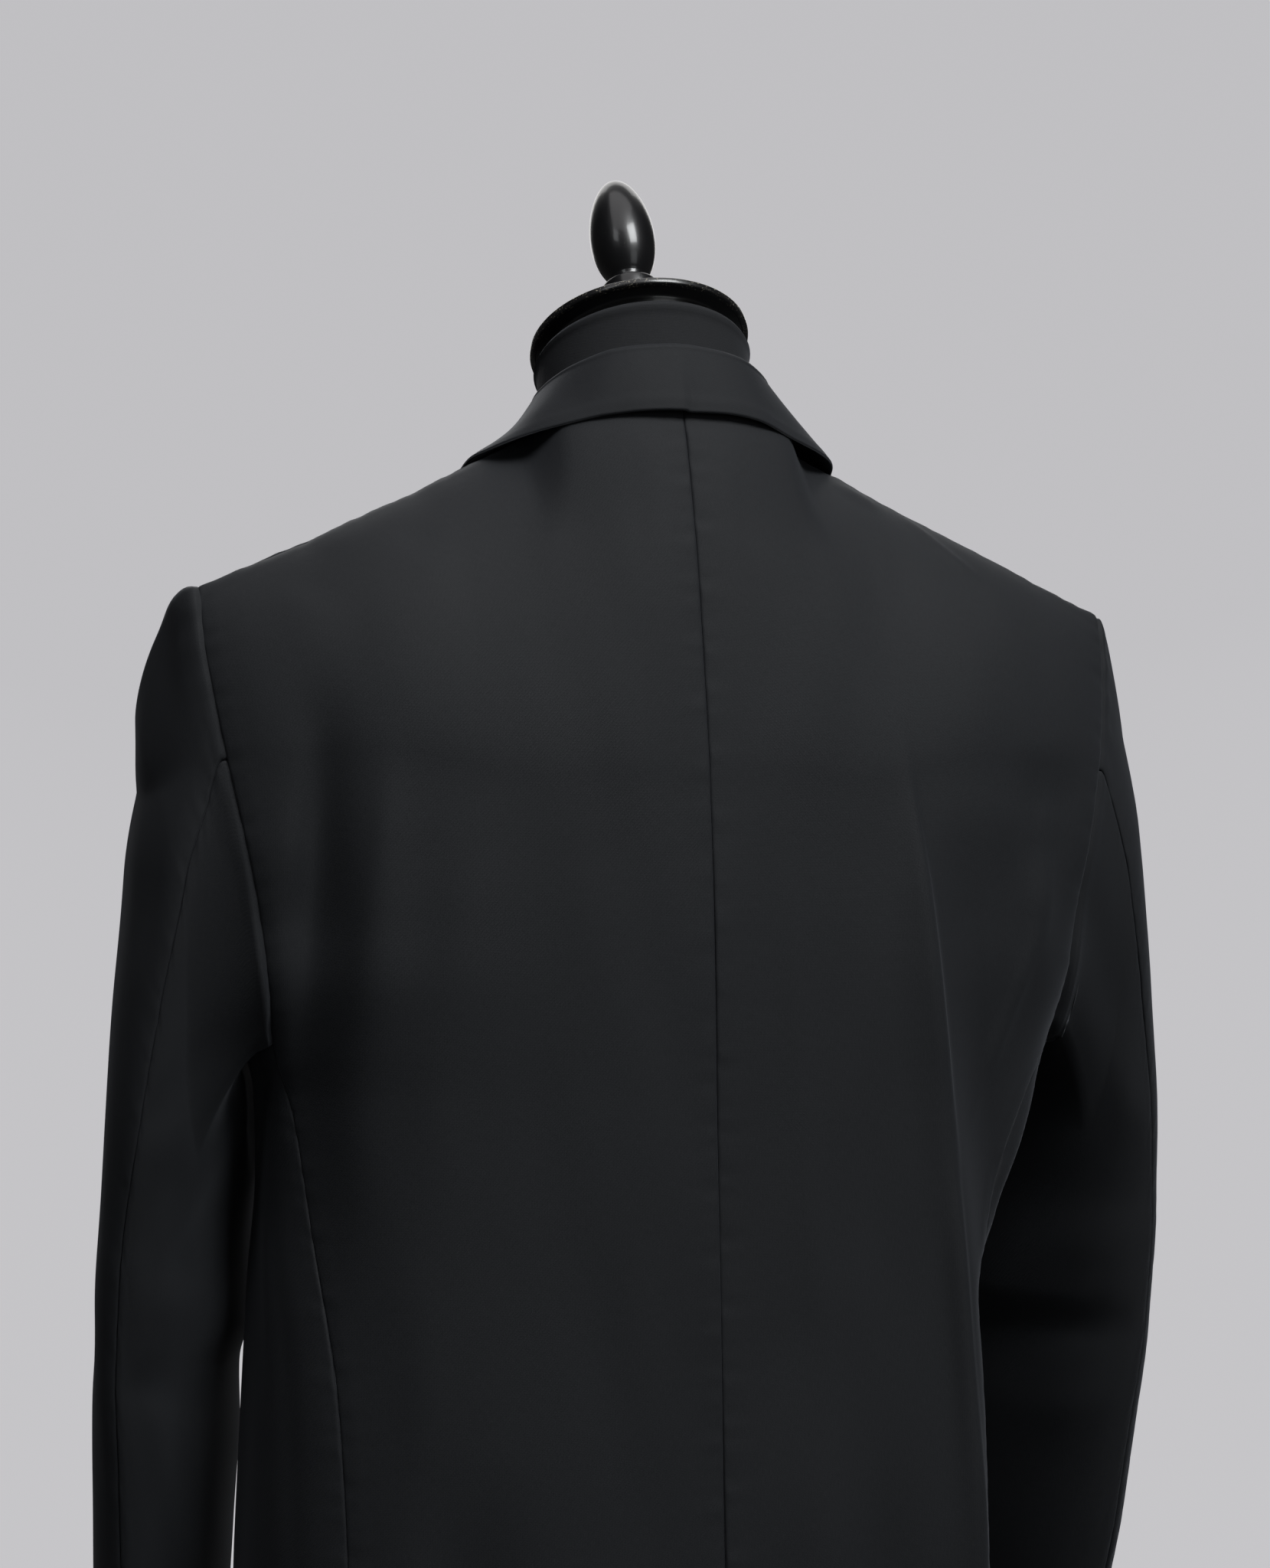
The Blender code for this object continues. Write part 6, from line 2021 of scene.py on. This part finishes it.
@dataclass
class Studio:
    """A pale sweep, soft light from above, and the camera."""

    eye: Triple = (0.4742, 1.4577, 0.6636)
    yaw: float = math.radians(17.72)
    pitch: float = math.radians(1.73)
    lens: float = 64.1
    floor_radius: float = 2.3
    wall_radius: float = 3.9
    wall_top: float = 4.6
    sweep_tone: Triple = (0.552, 0.546, 0.565)
    sweep_albedo: float = 0.08
    sweep_glow: float = 0.006
    sweep_power: float = 0.93
    sweep_drop: float = 0.0004
    air_colour: Triple = (0.92, 0.95, 1.0)
    air_strength: float = 0.025
    middle: Triple = (0, 0, 0.7)
    lamps: tuple[Lamp, ...] = (
        Lamp("top_light", (0.30, 0.55, 3.2), 2.2, 14.0, (1.0, 0.985, 1.0)),
        Lamp("high_light", (-0.72, 1.85, 3.0), 1.2, 64.0, (0.97, 0.99, 1.0)),
        Lamp("back_light", (-0.9, 2.85, 1.3), 1.4, 5.5, (0.95, 0.99, 1.0)),
        Lamp("left_light", (1.9, 1.5, 2.9), 0.8, 4.2, (0.95, 0.98, 1.0)),
        Lamp("front_light", (-0.6, -2.4, 2.6), 3.0, 45.0, (1.0, 0.99, 0.98)),
    )

    def build(self) -> None:
        """Builds the sweep, the lights and the camera."""
        self.build_sweep()
        self.build_air()
        for lamp in self.lamps:
            lamp.build(self.middle)
        self.build_camera()

    def build_sweep(self) -> None:
        """Builds the floor that bends up into a round wall, and its pale finish."""
        bend = self.wall_radius - self.floor_radius
        profile = [(0.0, 0.0), (self.floor_radius * 0.5, 0.0)]
        for a in np.linspace(0, math.pi / 2, 24):
            profile.append((self.floor_radius + bend * math.sin(a), bend * (1 - math.cos(a))))
        profile.append((self.wall_radius, self.wall_top))
        sweep = turned("studio_sweep", [*profile, (0.0, self.wall_top)], 96)
        with editing(sweep) as work:
            lid = [f for f in work.faces if min(v.co.z for v in f.verts) > self.wall_top - 0.01]
            bmesh.ops.delete(work, geom=lid, context="FACES")
            bmesh.ops.reverse_faces(work, faces=work.faces)
        sweep.location.z = -self.sweep_drop
        pale, maker, shader = new_material("pale_sweep")
        seen = maker.add("ShaderNodeLightPath").outputs["Is Camera Ray"]
        glow = maker.blend(seen, (*(self.sweep_glow,) * 3, 1.0), (*self.sweep_tone, 1.0))
        maker.feed(
            shader,
            {
                "Base Color": (*(self.sweep_albedo,) * 3, 1.0),
                "Roughness": 0.95,
                "Specular IOR Level": 0.0,
                "Emission Color": glow,
                "Emission Strength": self.sweep_power,
            },
        )
        sweep.data.materials.append(pale)

    def build_air(self) -> None:
        """Builds the faint even light that comes from everywhere."""
        world = bpy.data.worlds.new("studio_air")
        bpy.context.scene.world = world
        world.use_nodes = True
        air = world.node_tree.nodes["Background"]
        air.inputs["Color"].default_value = (*self.air_colour, 1.0)
        air.inputs["Strength"].default_value = self.air_strength

    def build_camera(self) -> None:
        """Builds the camera that takes the photo's view."""
        data = bpy.data.cameras.new("photo_camera")
        data.lens, data.sensor_width = self.lens, 36.0
        camera = bpy.data.objects.new("photo_camera", data)
        camera.location = self.eye
        level = -math.cos(self.pitch)
        toward = Vector((math.sin(self.yaw) * level, math.cos(self.yaw) * level, math.sin(self.pitch)))
        camera.rotation_euler = toward.to_track_quat("-Z", "Y").to_euler()
        bpy.context.scene.collection.objects.link(camera)
        bpy.context.scene.camera = camera
        bpy.context.scene.view_settings.view_transform = "Standard"


def main() -> None:
    """Builds the garment, the form and the studio."""
    logging.basicConfig(level=logging.INFO, format="%(name)s: %(message)s")
    for name in ("Cube", "Light", "Camera"):
        old = bpy.data.objects.get(name)
        if old is not None:
            bpy.data.objects.remove(old)
    finishes = Finishes()
    for hand in Hand:
        Body(hand).build(finishes)
        Sleeve(hand).build(finishes)
        Lapel(hand).build(finishes)
        Flap(hand).build(finishes)
    Collar().build(finishes)
    tree = stitch_tree()
    for height, z in (("upper", 0.455), ("lower", 0.345)):
        FrontButton(height, z).build(finishes, tree)
    DressForm().build(finishes)
    Stand().build(finishes)
    Studio().build()
    LOG.info("boxes written")


if __name__ == "__main__":
    main()
